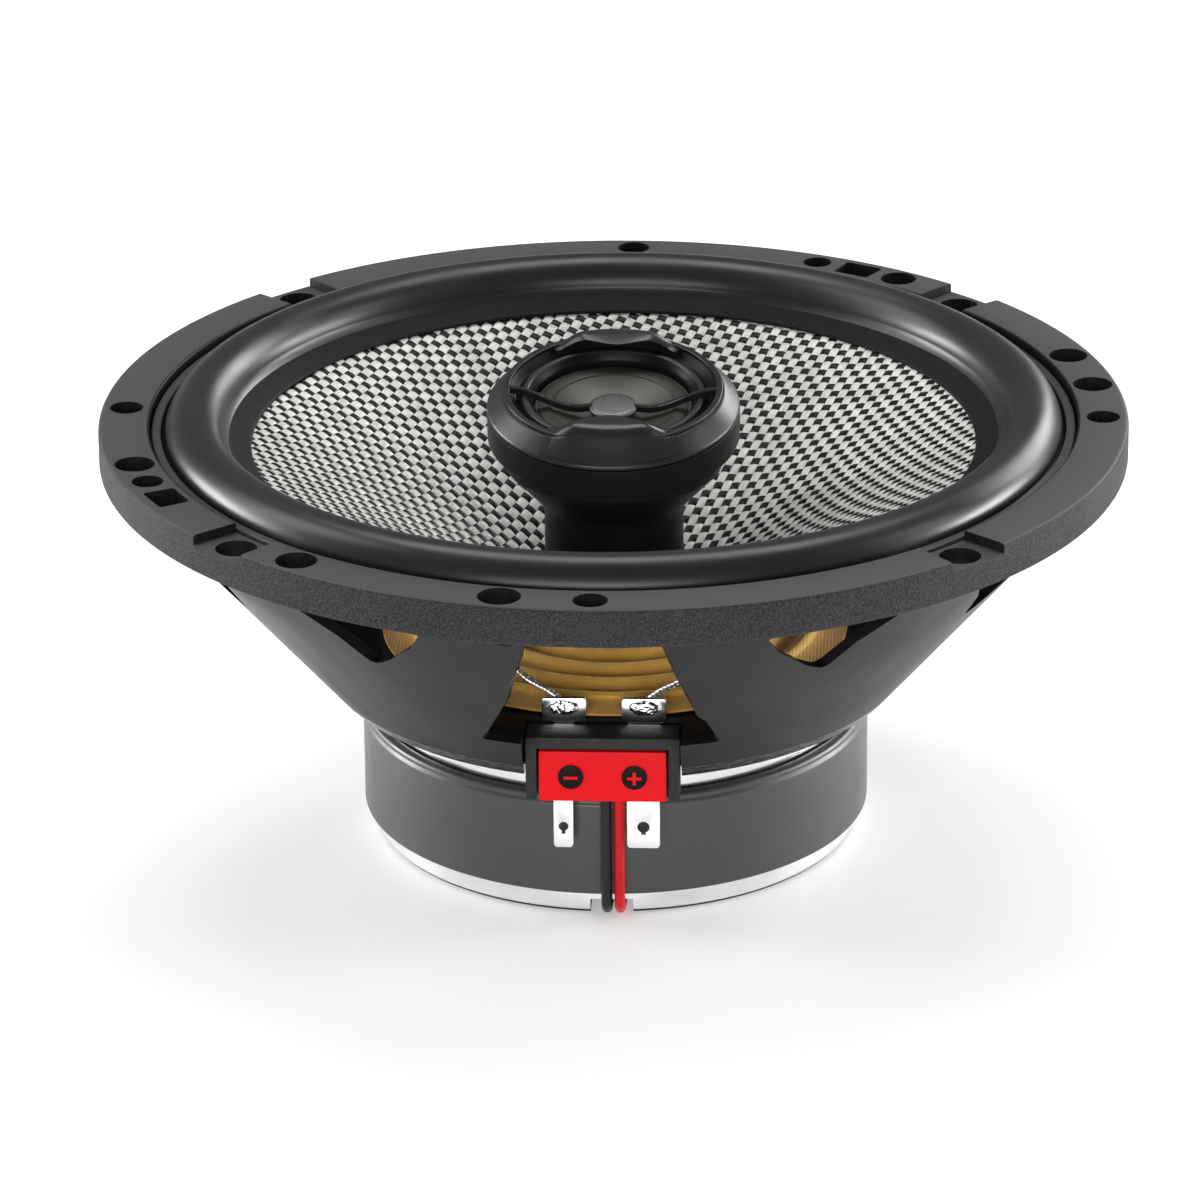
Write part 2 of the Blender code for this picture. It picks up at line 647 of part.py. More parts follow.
def smooth_route(knots, count):
    """Read points off a smooth Catmull-Rom curve through hand-placed knots."""
    points = []
    for index in range(len(knots) - 1):
        a = Vector(knots[max(index - 1, 0)])
        b = Vector(knots[index])
        c = Vector(knots[index + 1])
        d = Vector(knots[min(index + 2, len(knots) - 1)])
        for step in range(count):
            t = step / count
            cubic = (3.0 * (b - c) + d - a) * t * t * t
            square = (2.0 * a - 5.0 * b + 4.0 * c - d) * t * t
            points.append(b + (cubic + square + (c - a) * t) / 2.0)
    points.append(Vector(knots[-1]))
    return points


def wire(name, knots, radius, look, count=2):
    curve = bpy.data.curves.new(name, "CURVE")
    curve.dimensions = "3D"
    curve.bevel_depth = radius * MM
    curve.bevel_resolution = 2
    curve.use_fill_caps = True
    points = smooth_route(knots, count)
    spline = curve.splines.new("POLY")
    spline.points.add(len(points) - 1)
    for target, point in zip(spline.points, points):
        target.co = (*(point * MM), 1.0)
    curve.materials.append(finish(name, *look))
    piece = bpy.data.objects.new(name, curve)
    bpy.context.scene.collection.objects.link(piece)


def build_wires():
    """Lead the tweeter's wires down the boot, under the back plate and up the hollow pole."""
    for name, top_x, pole_x, look in (
        ("tweeter_wire_black", 0.35, -1.15, ((0.02, 0.02, 0.02), 0.45)),
        ("tweeter_wire_red", 2.45, 1.15, ((0.7, 0.02, 0.02), 0.4)),
    ):
        knots = [(top_x, -42.4, 22.0), (top_x, -42.4, 14.0), (top_x, -42.3, 5.0), (top_x, -41.0, 2.3)]
        knots += [(top_x, -38.2, 1.25), (top_x, -30.0, 1.25), (pole_x, -10.0, 1.25)]
        knots += [(pole_x, -4.0, 1.25), (pole_x, -0.9, 2.1), (pole_x, 0.0, 4.8), (pole_x, 0.0, 27.5)]
        if name.endswith("red"):
            knots += [(2.6, 0.0, 31.0), (3.6, 0.0, 35.6)]
        else:
            knots += [(-2.2, 0.0, 30.5), (-4.8, 0.0, 36.0), (-5.0, 0.0, 54.2)]
        wire(name, knots, 0.92, look)


def build_tinsel_leads():
    """Lead the flexible braids from the lugs to the back of the cone."""
    for name, side in (("left", -1), ("right", 1)):
        knots = [(side * 6.6, -37.2, 36.2), (side * 8.6, -36.4, 37.0), (side * 12.6, -33.6, 38.6)]
        knots += [(side * 16.2, -29.2, 40.8), (side * 18.0, -24.2, 43.6), (side * 17.0, -20.2, 46.7)]
        wire(f"tinsel_lead_{name}", knots, 0.55, ((0.6, 0.6, 0.58), 0.4, 0.8))


def main():
    clear_scene()
    rivet_holes = rivet_hole_cutters()
    build_basket(rivet_holes)
    build_rivets()
    build_motor(rivet_holes)
    build_cone()
    build_surround()
    build_spider()
    build_post()
    build_capacitor()
    pivot = add_pivot()
    build_ball_liner(pivot)
    build_head_shell(pivot)
    build_bezel(pivot)
    build_grille(pivot)
    build_tweeter_motor(pivot)
    build_tweeter_diaphragm(pivot)
    build_terminals()
    build_wires()
    build_tinsel_leads()


main()
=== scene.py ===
"""Looks of the coaxial car speaker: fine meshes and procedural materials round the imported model.

Sizes are in millimetres and become metres when a mesh is made. The origin is on the speaker's axis
at the bottom of the magnet, +Z points out of the cone and the terminals face -Y. Azimuths are in
degrees from the terminals, positive towards +X.
"""
import math

import bmesh
import bpy
import numpy as np
from mathutils import Matrix, Quaternion, Vector, noise


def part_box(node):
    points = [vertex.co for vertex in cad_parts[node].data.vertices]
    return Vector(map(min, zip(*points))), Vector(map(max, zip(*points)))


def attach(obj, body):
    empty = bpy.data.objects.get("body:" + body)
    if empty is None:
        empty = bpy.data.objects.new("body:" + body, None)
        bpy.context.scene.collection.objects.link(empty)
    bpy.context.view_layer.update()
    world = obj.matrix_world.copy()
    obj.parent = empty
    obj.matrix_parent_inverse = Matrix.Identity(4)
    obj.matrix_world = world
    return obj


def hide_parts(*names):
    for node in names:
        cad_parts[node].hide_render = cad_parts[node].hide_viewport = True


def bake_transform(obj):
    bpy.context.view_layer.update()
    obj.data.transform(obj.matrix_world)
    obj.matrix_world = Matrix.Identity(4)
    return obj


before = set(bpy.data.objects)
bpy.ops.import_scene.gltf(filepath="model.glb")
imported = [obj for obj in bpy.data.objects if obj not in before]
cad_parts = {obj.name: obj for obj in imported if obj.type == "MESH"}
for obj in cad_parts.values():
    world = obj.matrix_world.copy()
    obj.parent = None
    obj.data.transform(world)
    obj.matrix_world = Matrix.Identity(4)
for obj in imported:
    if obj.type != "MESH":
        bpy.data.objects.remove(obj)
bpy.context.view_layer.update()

MM = 0.001


def low(node):
    """Lowest corner of a CAD node in millimetres."""
    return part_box(node)[0] / MM


def high(node):
    """Highest corner of a CAD node in millimetres."""
    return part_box(node)[1] / MM


# Sizes taken from the frame
FLANGE_R = high("basket").x
FLANGE_TOP = high("basket").z
BASKET_BOTTOM = low("basket").z
CLAMP_R = high("surround_clamp_ring").x
CLAMP_TOP = high("surround_clamp_ring").z
ROLL_TOP = high("surround").z
SURROUND_R = high("surround").x
CONE_R = high("cone").x
SPIDER_R = high("spider").x
MAGNET_R = high("ferrite_magnet").x
BACK_PLATE_R = high("back_plate_and_pole").x
POLE_TOP = high("back_plate_and_pole").z
TOP_PLATE_R = high("top_plate").x
TOP_PLATE_BASE = low("top_plate").z
TOP_PLATE_TOP = high("top_plate").z
BOOT_R = high("magnet_boot").x
BOOT_BASE = low("magnet_boot").z
BOOT_TOP = high("magnet_boot").z
POST_TOP = high("tweeter_post").z
HOUSING_X = high("terminal_housing").x
HOUSING_TOP = high("terminal_housing").z
HOUSING_FRONT_Y = low("terminal_housing").y
BLOCK_LOW = low("terminal_block")
BLOCK_HIGH = high("terminal_block")

# Basket
FLANGE_BASE = FLANGE_TOP - 6.2
FLANGE_INNER_R = 74.4
CUT_BASE = 60.0
CUT_TOP = 75.0
SCREW_R = 78.4
NECK_R = 76.4
NECK_Z = 62.4
BOTTOM_R = 45.1
WALL = 2.6
SEAT_R = 70.3
SEAT_Z = 67.2
LEDGE_R = 34.0
LEDGE_BASE = 31.5
LEDGE_TOP = 33.3
BORE_R = 19.5
FLOOR_Z = BASKET_BOTTOM + 2.0
GLOSS_TOP = BASKET_BOTTOM + 3.0
RECESS_DEPTH = 1.6
RECESS_HALF_DEG = 3.9
SCREW_HOLES = [(quarter * 90.0, 5.4) for quarter in range(4)]
SCREW_HOLES += [(45.0 + quarter * 90.0, 6.5) for quarter in range(4)]
CLIP_HOLES = [(-10.1, 6.7), (-35.4, 6.5), (100.8, 6.4), (110.8, 6.3)]
CLIP_HOLES += [(-71.6, 6.4), (-65.9, 5.0), (144.7, 6.0), (156.3, 4.8)]
CLIP_SLOTS = (-60.3, 150.6)
TALL_WINDOW = ((20.6, 34.8), (14.6, 43.0), (10.8, 52.0), (7.6, 63.0))
SMALL_WINDOW = ((20.4, 61.0), (38.6, 61.0), (31.6, 50.2), (27.6, 52.6))

# Motor
POLE_R = 12.3
BACK_PLATE_TOP = 5.0
GAP_R = 14.4

# Cone, its weave and its suspension
CONE_BORE_R = 13.3
CONE_NECK_R = 14.0
CONE_NECK_Z = 40.0
CONE_EDGE_R = 58.0
CONE_RISE = 32.5
CONE_CURVE = -7.0
YARN_PITCH = 1.53
HIGHLIT_YARN_WIDTH = 1.47
SHADED_YARN_WIDTH = 1.2
YARN_SWING = 0.13
YARN_CROWN = 0.12
YARN_REACH = CONE_EDGE_R + 0.8
YARN_HOLE_R = CONE_NECK_R - 0.3
HIGHLIT_YARN_DEG = 65.0
ROLL_CENTRE_R = 67.2
ROLL_HALF_WIDTH = 4.8
ROLL_BASE_Z = 68.2
SPIDER_INNER_R = 13.3
SPIDER_OUTER_R = 33.6
SPIDER_Z = 34.6
SPIDER_WAVES = 3.5

# Tweeter, in its own frame with the origin on the ball's centre
PIVOT = Vector((0.0, 0.0, 70.0))
REST_TILT_DEG = 9.0
RIM_TOP = 4.7
HEAD_R = 20.3
DISC_R = 3.95
DOME_R = 9.8
TILT = Matrix.Translation(PIVOT * MM) @ Matrix.Rotation(math.radians(REST_TILT_DEG), 4, "X")

# Terminals and wires
HOUSING_BASE = 22.5
SPADE_X = 6.3
SPADE_THICKNESS = 0.8
TAB_Y = -43.1
LUG_Y = -38.6
KEYHOLE_Z = 17.2
MARK_X = 5.0
MARK_Z = 26.6
WIRE_R = 0.85
STRAND_R = 0.26

# Steps round a turned piece, and the angles at which an edge stays sharp or is bevelled
ROUND = 240
MIDDLE = 120
SHARP_DEG = 35.0
BEVEL_DEG = 40.0


# ---------------------------------------------------------------- meshes

def around(radius, azimuth_deg, height):
    """Give the point at a radius, azimuth and height."""
    angle = math.radians(azimuth_deg)
    return Vector((radius * math.sin(angle), -radius * math.cos(angle), height))


def rounded(points):
    """Round the corners of a closed outline of (x, y, cut) points, cut back that far on both sides."""
    steps = 4
    outline = []
    for index, (x, y, cut) in enumerate(points):
        corner = Vector((x, y))
        if cut == 0:
            outline.append(corner)
            continue
        before = Vector(points[index - 1][:2]) - corner
        after = Vector(points[(index + 1) % len(points)][:2]) - corner
        start = corner + before.normalized() * min(cut, before.length * 0.48)
        end = corner + after.normalized() * min(cut, after.length * 0.48)
        for step in range(steps + 1):
            t = step / steps
            outline.append(start * (1 - t) ** 2 + corner * (2 * t * (1 - t)) + end * t ** 2)
    return outline


def arc(radius, start_deg, end_deg, count, centre=(0.0, 0.0)):
    """Give the points of an arc, counterclockwise from +X."""
    points = []
    for step in range(count + 1):
        angle = math.radians(start_deg + (end_deg - start_deg) * step / count)
        points.append(Vector((centre[0] + radius * math.cos(angle), centre[1] + radius * math.sin(angle))))
    return points


def half_ellipse(width, height, count):
    """Give the points of the upper half of an ellipse, from its right end to its left end."""
    return [(point.x * width, point.y * height) for point in arc(1.0, 0.0, 180.0, count)]


def add_object(name, shape, sharp_deg=SHARP_DEG):
    """Turn a bmesh in metres into an object with smooth faces and sharp corners."""
    bmesh.ops.remove_doubles(shape, verts=shape.verts, dist=1e-7)
    bmesh.ops.recalc_face_normals(shape, faces=shape.faces)
    mesh = bpy.data.meshes.new(name)
    shape.to_mesh(mesh)
    shape.free()
    mesh.shade_smooth()
    mesh.set_sharp_from_angle(angle=math.radians(sharp_deg))
    piece = bpy.data.objects.new(name, mesh)
    bpy.context.scene.collection.objects.link(piece)
    return piece


def turn(shape, outline, steps, centre=(0.0, 0.0)):
    """Add a solid turned about a vertical axis from a closed outline of (radius, height) points."""
    rings = []
    for point in outline:
        radius, height = point[0], point[1]
        if radius < 1e-6:
            rings.append([shape.verts.new(Vector((centre[0], centre[1], height)) * MM)] * steps)
            continue
        ring = []
        for step in range(steps):
            angle = math.tau * step / steps
            place = (centre[0] + radius * math.cos(angle), centre[1] + radius * math.sin(angle), height)
            ring.append(shape.verts.new(Vector(place) * MM))
        rings.append(ring)
    for ring, follower in zip(rings, rings[1:] + rings[:1]):
        for step in range(steps):
            after = (step + 1) % steps
            corners = list(dict.fromkeys([ring[step], ring[after], follower[after], follower[step]]))
            if len(corners) > 2:
                shape.faces.new(corners)


def turned(name, outline, steps=ROUND, placed=None):
    """Make a turned piece, moved by a matrix if one is given."""
    shape = bmesh.new()
    turn(shape, outline, steps)
    if placed is not None:
        shape.transform(placed)
    return add_object(name, shape)


def skin(shape, sections):
    """Add a closed solid through matching loops of points."""
    loops = [[shape.verts.new(Vector(point) * MM) for point in section] for section in sections]
    shape.faces.new(loops[0][::-1])
    shape.faces.new(loops[-1])
    for first, second in zip(loops, loops[1:]):
        for index in range(len(first)):
            after = (index + 1) % len(first)
            shape.faces.new([first[index], first[after], second[after], second[index]])


def block(name, outline, axis, start, end):
    """Make a solid pushed from start to end along Y or Z from its outline."""
    place = {
        "y": lambda point, at: (point[0], at, point[1]),
        "z": lambda point, at: (point[0], point[1], at),
    }[axis]
    shape = bmesh.new()
    skin(shape, [[place(point, at) for point in outline] for at in (start, end)])
    return add_object(name, shape)


def rectangle(x0, y0, x1, y1, cut):
    """Give the outline of a rectangle with rounded corners."""
    return rounded([(x0, y0, cut), (x1, y0, cut), (x1, y1, cut), (x0, y1, cut)])


def soften(piece, width):
    """Bevel a piece's edges."""
    bevel = piece.modifiers.new("edges", "BEVEL")
    bevel.width = width * MM
    bevel.segments = 2
    bevel.limit_method = "ANGLE"
    bevel.angle_limit = math.radians(BEVEL_DEG)
    settle(piece)


def settle(piece):
    """Make a piece's mesh what its modifiers give."""
    bpy.context.view_layer.update()
    graph = bpy.context.evaluated_depsgraph_get()
    mesh = bpy.data.meshes.new_from_object(piece.evaluated_get(graph))
    piece.modifiers.clear()
    piece.data = mesh
    mesh.shade_smooth()
    mesh.set_sharp_from_angle(angle=math.radians(SHARP_DEG))


def carve(piece, helpers, operation="DIFFERENCE"):
    """Cut helpers from a piece, or join them to it."""
    for helper in helpers:
        modifier = piece.modifiers.new(helper.name, "BOOLEAN")
        modifier.operation = operation
        modifier.solver = "EXACT"
        modifier.object = helper
    settle(piece)
    for helper in helpers:
        bpy.data.objects.remove(helper)


def smooth_route(knots, count):
    """Read points off a smooth curve through knots."""
    points = []
    for index in range(len(knots) - 1):
        a = Vector(knots[max(index - 1, 0)])
        b = Vector(knots[index])
        c = Vector(knots[index + 1])
        d = Vector(knots[min(index + 2, len(knots) - 1)])
        for step in range(count):
            t = step / count
            cubic = (3.0 * (b - c) + d - a) * t * t * t
            square = (2.0 * a - 5.0 * b + 4.0 * c - d) * t * t
            points.append(b + (cubic + square + (c - a) * t) / 2.0)
    points.append(Vector(knots[-1]))
    return points


def tube(shape, points, radius, sides, strand=0.0, turns_per_mm=0.0, phase=0.0):
    """Add a closed tube along points. A strand winds round them at its own radius."""
    normal = (points[1] - points[0]).orthogonal().normalized()
    travelled = 0.0
    sections = []
    for index, point in enumerate(points):
        along = (points[min(index + 1, len(points) - 1)] - points[max(index - 1, 0)]).normalized()
        normal = (normal - along * normal.dot(along)).normalized()
        side = along.cross(normal)
        if index:
            travelled += (point - points[index - 1]).length
        spin = math.tau * (travelled * turns_per_mm + phase)
        centre = point + (normal * math.cos(spin) + side * math.sin(spin)) * strand
        section = []
        for step in range(sides):
            angle = math.tau * step / sides
            section.append(centre + (normal * math.cos(angle) + side * math.sin(angle)) * radius)
        sections.append(section)
    skin(shape, sections)


# ---------------------------------------------------------------- pieces on bodies

def dress(piece, material, body, slot, *nodes):
    """Give a piece its material, let it ride on a body and stand for its CAD nodes, if it has any."""
    if len(piece.data.materials) == 0:
        piece.data.materials.append(material)
    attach(piece, body)
    if nodes:
        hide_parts(*nodes)


def flex(piece, material, bodies, follow, slot, *nodes):
    """Give a piece its material, bake its place into its mesh and hide its CAD nodes; it does not bend.
    Follow gives how far each point would go with the second body, but nothing uses that. The bodies are not
    used.
    """
    piece.data.materials.append(material)
    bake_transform(piece)
    weights = [follow(vertex.co / MM) for vertex in piece.data.vertices]
    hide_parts(*nodes)


def ease(value, start, end):
    """Return 0 at start and 1 at end with a smooth turn between them."""
    t = min(max((value - start) / (end - start), 0.0), 1.0)
    return t * t * (3.0 - 2.0 * t)


def repaint(node, material):
    """Give a CAD node that keeps its shape a finer material."""
    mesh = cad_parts[node].data
    mesh.materials.clear()
    mesh.materials.append(material)


# ---------------------------------------------------------------- materials

class Look:
    """A Principled material that is built up from texture nodes."""

    def __init__(self, name, colour, roughness, metallic=0.0, **constants):
        self.material = bpy.data.materials.new(name)
        self.material.use_nodes = True
        self.tree = self.material.node_tree
        self.shader = self.tree.nodes["Principled BSDF"]
        self.shader.inputs["Base Color"].default_value = (*colour, 1.0)
        self.shader.inputs["Roughness"].default_value = roughness
        self.shader.inputs["Metallic"].default_value = metallic
        for socket, value in constants.items():
            self.shader.inputs[socket.replace("_", " ")].default_value = value
        self.normal = None

    def node(self, kind, inputs=None, **settings):
        """Add a shader node with its settings, and with values or links at its inputs."""
        made = self.tree.nodes.new("ShaderNode" + kind)
        for key, value in settings.items():
            setattr(made, key, value)
        for key, value in (inputs or {}).items():
            if isinstance(value, bpy.types.NodeSocket):
                self.tree.links.new(value, made.inputs[key])
            else:
                made.inputs[key].default_value = value
        return made

    def place(self, scale=(1.0, 1.0, 1.0)):
        """Give the object's own coordinates in millimetres, stretched by a scale."""
        coordinates = self.node("TexCoord").outputs["Object"]
        size = tuple(value / MM for value in scale)
        return self.node("Mapping", {"Vector": coordinates, "Scale": size}).outputs["Vector"]

    def noise(self, scale, detail, stretch=(1.0, 1.0, 1.0), vector=None):
        """Give noise with a number of waves per millimetre."""
        where = vector or self.place(stretch)
        inputs = {"Vector": where, "Scale": scale, "Detail": detail}
        return self.node("TexNoise", inputs).outputs["Fac"]

    def scaled(self, value, from_low, from_high, to_low, to_high):
        """Carry a value from one range over to another."""
        inputs = {0: value, 1: from_low, 2: from_high, 3: to_low, 4: to_high}
        return self.node("MapRange", inputs).outputs[0]

    def math(self, operation, first, second=0.0):
        return self.node("Math", {0: first, 1: second}, operation=operation).outputs[0]

    def tint(self, factor, first, second):
        """Mix two colours by a factor and drive the base colour with the result."""
        # A Mix node has its colours at inputs 6 and 7 and at output 2.
        inputs = {0: factor, 6: (*first, 1.0), 7: (*second, 1.0)}
        mixed = self.node("Mix", inputs, data_type="RGBA")
        self.tree.links.new(mixed.outputs[2], self.shader.inputs["Base Color"])

    def rough(self, factor, lowest, highest):
        """Let noise drive the roughness between two values."""
        value = self.scaled(factor, 0.3, 0.7, lowest, highest)
        self.tree.links.new(value, self.shader.inputs["Roughness"])

    def bump(self, height, depth):
        """Raise the surface by a height of 0 to 1 times a depth in millimetres."""
        inputs = {"Height": height, "Distance": depth * MM, "Strength": 1.0}
        if self.normal is not None:
            inputs["Normal"] = self.normal
        self.normal = self.node("Bump", inputs).outputs["Normal"]
        self.tree.links.new(self.normal, self.shader.inputs["Normal"])


def shade(colour, factor):
    """Make a colour darker or lighter by a factor."""
    return tuple(min(value * factor, 1.0) for value in colour)


def grainy(name, colour, roughness, grain, depth, contrast=0.35, specular=0.5):
    """Make a powder coat or moulded grain with a number of grains per millimetre."""
    look = Look(name, colour, roughness, Specular_IOR_Level=specular)
    fine = look.noise(grain, 4.0)
    broad = look.noise(0.05, 2.0)
    grains = look.scaled(fine, 0.35, 0.65, 0.0, 1.0)
    look.tint(grains, shade(colour, 1.0 - contrast), shade(colour, 1.0 + contrast))
    look.rough(broad, roughness - 0.05, roughness + 0.06)
    look.bump(fine, depth)
    return look.material


def satin(name, colour, roughness, spread=0.06, specular=0.5):
    """Make smooth moulded plastic or rubber with faint waves and handling marks."""
    look = Look(name, colour, roughness, Specular_IOR_Level=specular)
    waves = look.noise(0.12, 3.0)
    marks = look.noise(2.2, 5.0)
    look.tint(marks, shade(colour, 0.85), shade(colour, 1.15))
    look.rough(waves, roughness - spread, roughness + spread)
    look.bump(marks, 0.008)
    return look.material


def plated(name, colour, roughness, stretch=(0.2, 0.2, 9.0), scratch=0.004):
    """Make turned and plated metal with fine lines that run round the axis."""
    look = Look(name, colour, roughness, 1.0)
    lines = look.noise(1.0, 4.0, stretch)
    stains = look.noise(0.18, 4.0)
    look.tint(stains, shade(colour, 0.86), shade(colour, 1.08))
    look.rough(lines, roughness - 0.05, roughness + 0.08)
    look.bump(lines, scratch)
    return look.material


def wavy_gloss(name, colour, roughness):
    """Make a glossy cast and painted surface whose waves break its reflections up."""
    look = Look(name, colour, roughness, Specular_IOR_Level=0.6)
    waves = look.noise(0.35, 4.0, (1.0, 1.0, 2.5))
    look.tint(waves, shade(colour, 0.5), shade(colour, 1.5))
    look.rough(look.noise(0.1, 2.0), roughness, roughness + 0.12)
    look.bump(waves, 0.5)
    return look.material


def foil(name, colour, roughness):
    """Make thin anodised foil with a faint haze."""
    look = Look(name, colour, roughness, 0.6)
    haze = look.noise(0.15, 2.0)
    look.tint(haze, shade(colour, 0.8), shade(colour, 1.2))
    look.bump(look.noise(1.5, 3.0), 0.01)
    return look.material


def yarn(name, dark, light, roughness, gloss):
    """Make a flat bundle of glass fibres that run along the first UV axis."""
    coat = {"Coat_Weight": gloss, "Coat_Roughness": 0.2}
    look = Look(name, light, roughness, Specular_IOR_Level=gloss * 2.0, **coat)
    uv = look.node("UVMap").outputs["UV"]
    where = look.node("Mapping", {"Vector": uv, "Scale": (0.35, 9.0, 1.0)}).outputs["Vector"]
    fibres = look.noise(1.0, 3.0, vector=where)
    patches = look.noise(0.25, 2.0)
    factor = look.math("ADD", look.math("MULTIPLY", fibres, 0.7), look.math("MULTIPLY", patches, 0.3))
    look.tint(look.scaled(factor, 0.35, 0.65, 0.0, 1.0), dark, light)
    look.bump(fibres, 0.03)
    return look.material


def wound(name, colour, pitch):
    """Make a coil of enamelled wire laid in turns along Z."""
    look = Look(name, colour, 0.3, 1.0)
    height = look.node("SeparateXYZ", {0: look.place()}).outputs["Z"]
    turns = look.math("SINE", look.math("MULTIPLY", height, math.tau / pitch))
    ridge = look.scaled(turns, -1.0, 1.0, 0.0, 1.0)
    # Painted shade: the grooves between the turns are darker in colour.
    look.tint(ridge, shade(colour, 0.4), colour)
    look.bump(ridge, pitch * 0.4)
    return look.material


def spider_cloth():
    """Make golden phenolic cloth with an open plain weave, painted lighter on its raised crests and darker
    in its valleys as painted highlight and shade.
    """
    look = Look("golden_cloth", (0.72, 0.45, 0.12), 0.5, Sheen_Weight=0.2)
    where = look.place()
    parts = look.node("SeparateXYZ", {0: where})
    threads = []
    for axis in ("X", "Y"):
        wave = look.math("SINE", look.math("MULTIPLY", parts.outputs[axis], math.tau / 0.55))
        threads.append(look.scaled(wave, -1.0, 1.0, 0.0, 1.0))
    weave = look.math("MULTIPLY", threads[0], threads[1])
    patches = look.noise(0.35, 4.0)
    # Painted highlight and shade: the higher the cloth, the lighter its colour, so the crests are painted
    # light and the valleys dark.
    ridge = look.scaled(parts.outputs["Z"], SPIDER_Z - 1.2, SPIDER_Z + 0.6, 0.0, 0.75)
    factor = look.math("ADD", ridge, look.math("MULTIPLY", patches, 0.3))
    look.tint(factor, (0.46, 0.155, 0.006), (1.0, 0.60, 0.115))
    look.bump(weave, 0.05)
    look.bump(patches, 0.08)
    return look.material


COAT_TOP = grainy("flange_top_coat", (0.060, 0.061, 0.063), 0.55, 5.0, 0.02, 0.2, specular=0.35)
COAT_SKIRT = grainy("flange_skirt_coat", (0.030, 0.030, 0.031), 0.7, 3.2, 0.09, 0.6, specular=0.25)
COAT_WALL = grainy("basket_wall_coat", (0.013, 0.0135, 0.014), 0.36, 3.2, 0.012, 0.22, specular=0.12)
COAT_RING = wavy_gloss("basket_ring_coat", (0.008, 0.008, 0.008), 0.14)
CLAMP_PLASTIC = satin("clamp_ring_plastic", (0.05, 0.05, 0.052), 0.42)
SURROUND_RUBBER = grainy("surround_rubber", (0.010, 0.010, 0.011), 0.32, 6.0, 0.004, 0.12, specular=0.5)
LIP_RUBBER = grainy("surround_lip", (0.010, 0.010, 0.010), 0.6, 2.5, 0.03, 0.4, specular=0.12)
BOOT_RUBBER = satin("boot_rubber", (0.032, 0.032, 0.032), 0.4, 0.06, specular=0.75)
ZINC = plated("bright_zinc", (0.88, 0.89, 0.90), 0.16)
RESIN = satin("black_resin", (0.008, 0.008, 0.008), 0.35)
# Both yarn sets are one glass yarn painted two ways. One set is light as a painted highlight, and the set
# across it is near black as painted shade, standing in for the fibres' reflections.
HIGHLIT_YARN = yarn("glass_yarn_painted_highlight", (0.48, 0.47, 0.44), (0.92, 0.91, 0.87), 0.38, 0.2)
SHADED_YARN = yarn("glass_yarn_painted_shade", (0.003, 0.003, 0.003), (0.012, 0.012, 0.011), 0.34, 0.06)
GOLD_CLOTH = spider_cloth()
SHELL_PLASTIC = satin("tweeter_shell_plastic", (0.006, 0.006, 0.006), 0.36, 0.05, specular=0.15)
BEZEL_PLASTIC = satin("tweeter_bezel_plastic", (0.012, 0.012, 0.013), 0.33, 0.05)
GRILLE_PLASTIC = satin("tweeter_grille_plastic", (0.012, 0.012, 0.013), 0.26, 0.05)
DOME_FOIL = foil("anodised_dome_foil", (0.10, 0.10, 0.085), 0.42)
DISC_METAL = plated("brushed_disc", (0.17, 0.17, 0.17), 0.42, (6.0, 0.3, 0.3), 0.01)
# Painted shade: the suspension cloth is coloured near black for the shade under the grille's bars and disc.
TWEETER_CLOTH = foil("coated_cloth", (0.045, 0.045, 0.038), 0.46)
# Painted shade: this dark satin stands in for the contact shadow on the back plate's bottom chamfer and for
# the shade inside its wire groove.
EDGE_SHADE = satin("painted_shade_chamfer_and_groove", (0.02, 0.02, 0.02), 0.6, specular=0.1)
HOUSING_PLASTIC = grainy("housing_plastic", (0.022, 0.022, 0.023), 0.5, 2.5, 0.02, 0.3, specular=0.25)
RED_PLASTIC = satin("red_plastic", (0.78, 0.006, 0.011), 0.4, 0.05, specular=0.12)
MARK_BLACK = satin("mark_black", (0.006, 0.004, 0.004), 0.4, specular=0.12)
TIN = plated("bright_tin", (0.93, 0.93, 0.94), 0.17, (0.5, 0.5, 4.0), 0.006)
SOLDER = plated("solder", (0.86, 0.86, 0.87), 0.12, (1.0, 1.0, 1.0), 0.02)
BLACK_WIRE = satin("black_insulation", (0.010, 0.010, 0.010), 0.4, specular=0.3)
RED_WIRE = satin("red_insulation", (0.55, 0.006, 0.010), 0.32, specular=0.25)
BRAID = plated("tinsel_braid", (0.80, 0.79, 0.76), 0.3, (3.0, 3.0, 3.0), 0.01)
RIVET_STEEL = plated("rivet_steel", (0.75, 0.75, 0.76), 0.25, (1.0, 1.0, 1.0))
MOTOR_STEEL = plated("motor_steel", (0.6, 0.6, 0.61), 0.3, (0.5, 0.5, 3.0))
NICKEL = plated("nickel_plate", (0.72, 0.72, 0.73), 0.2, (1.0, 1.0, 1.0))
FERRITE = grainy("ground_ferrite", (0.055, 0.055, 0.06), 0.6, 4.0, 0.02)
FORMER_FILM = satin("former_film", (0.42, 0.2, 0.05), 0.3)
COPPER = wound("copper_winding", (0.78, 0.34, 0.13), 0.32)
CAPACITOR_WRAP = satin("capacitor_wrap", (0.62, 0.34, 0.05), 0.25)
LINER_PLASTIC = satin("liner_plastic", (0.02, 0.02, 0.02), 0.5)


# ---------------------------------------------------------------- basket

def wall_radius(height):
    """Give the outer radius of the basket's wall at a height."""
    share = (height - BASKET_BOTTOM) / (NECK_Z - BASKET_BOTTOM)
    return BOTTOM_R + share * (NECK_R - BOTTOM_R)


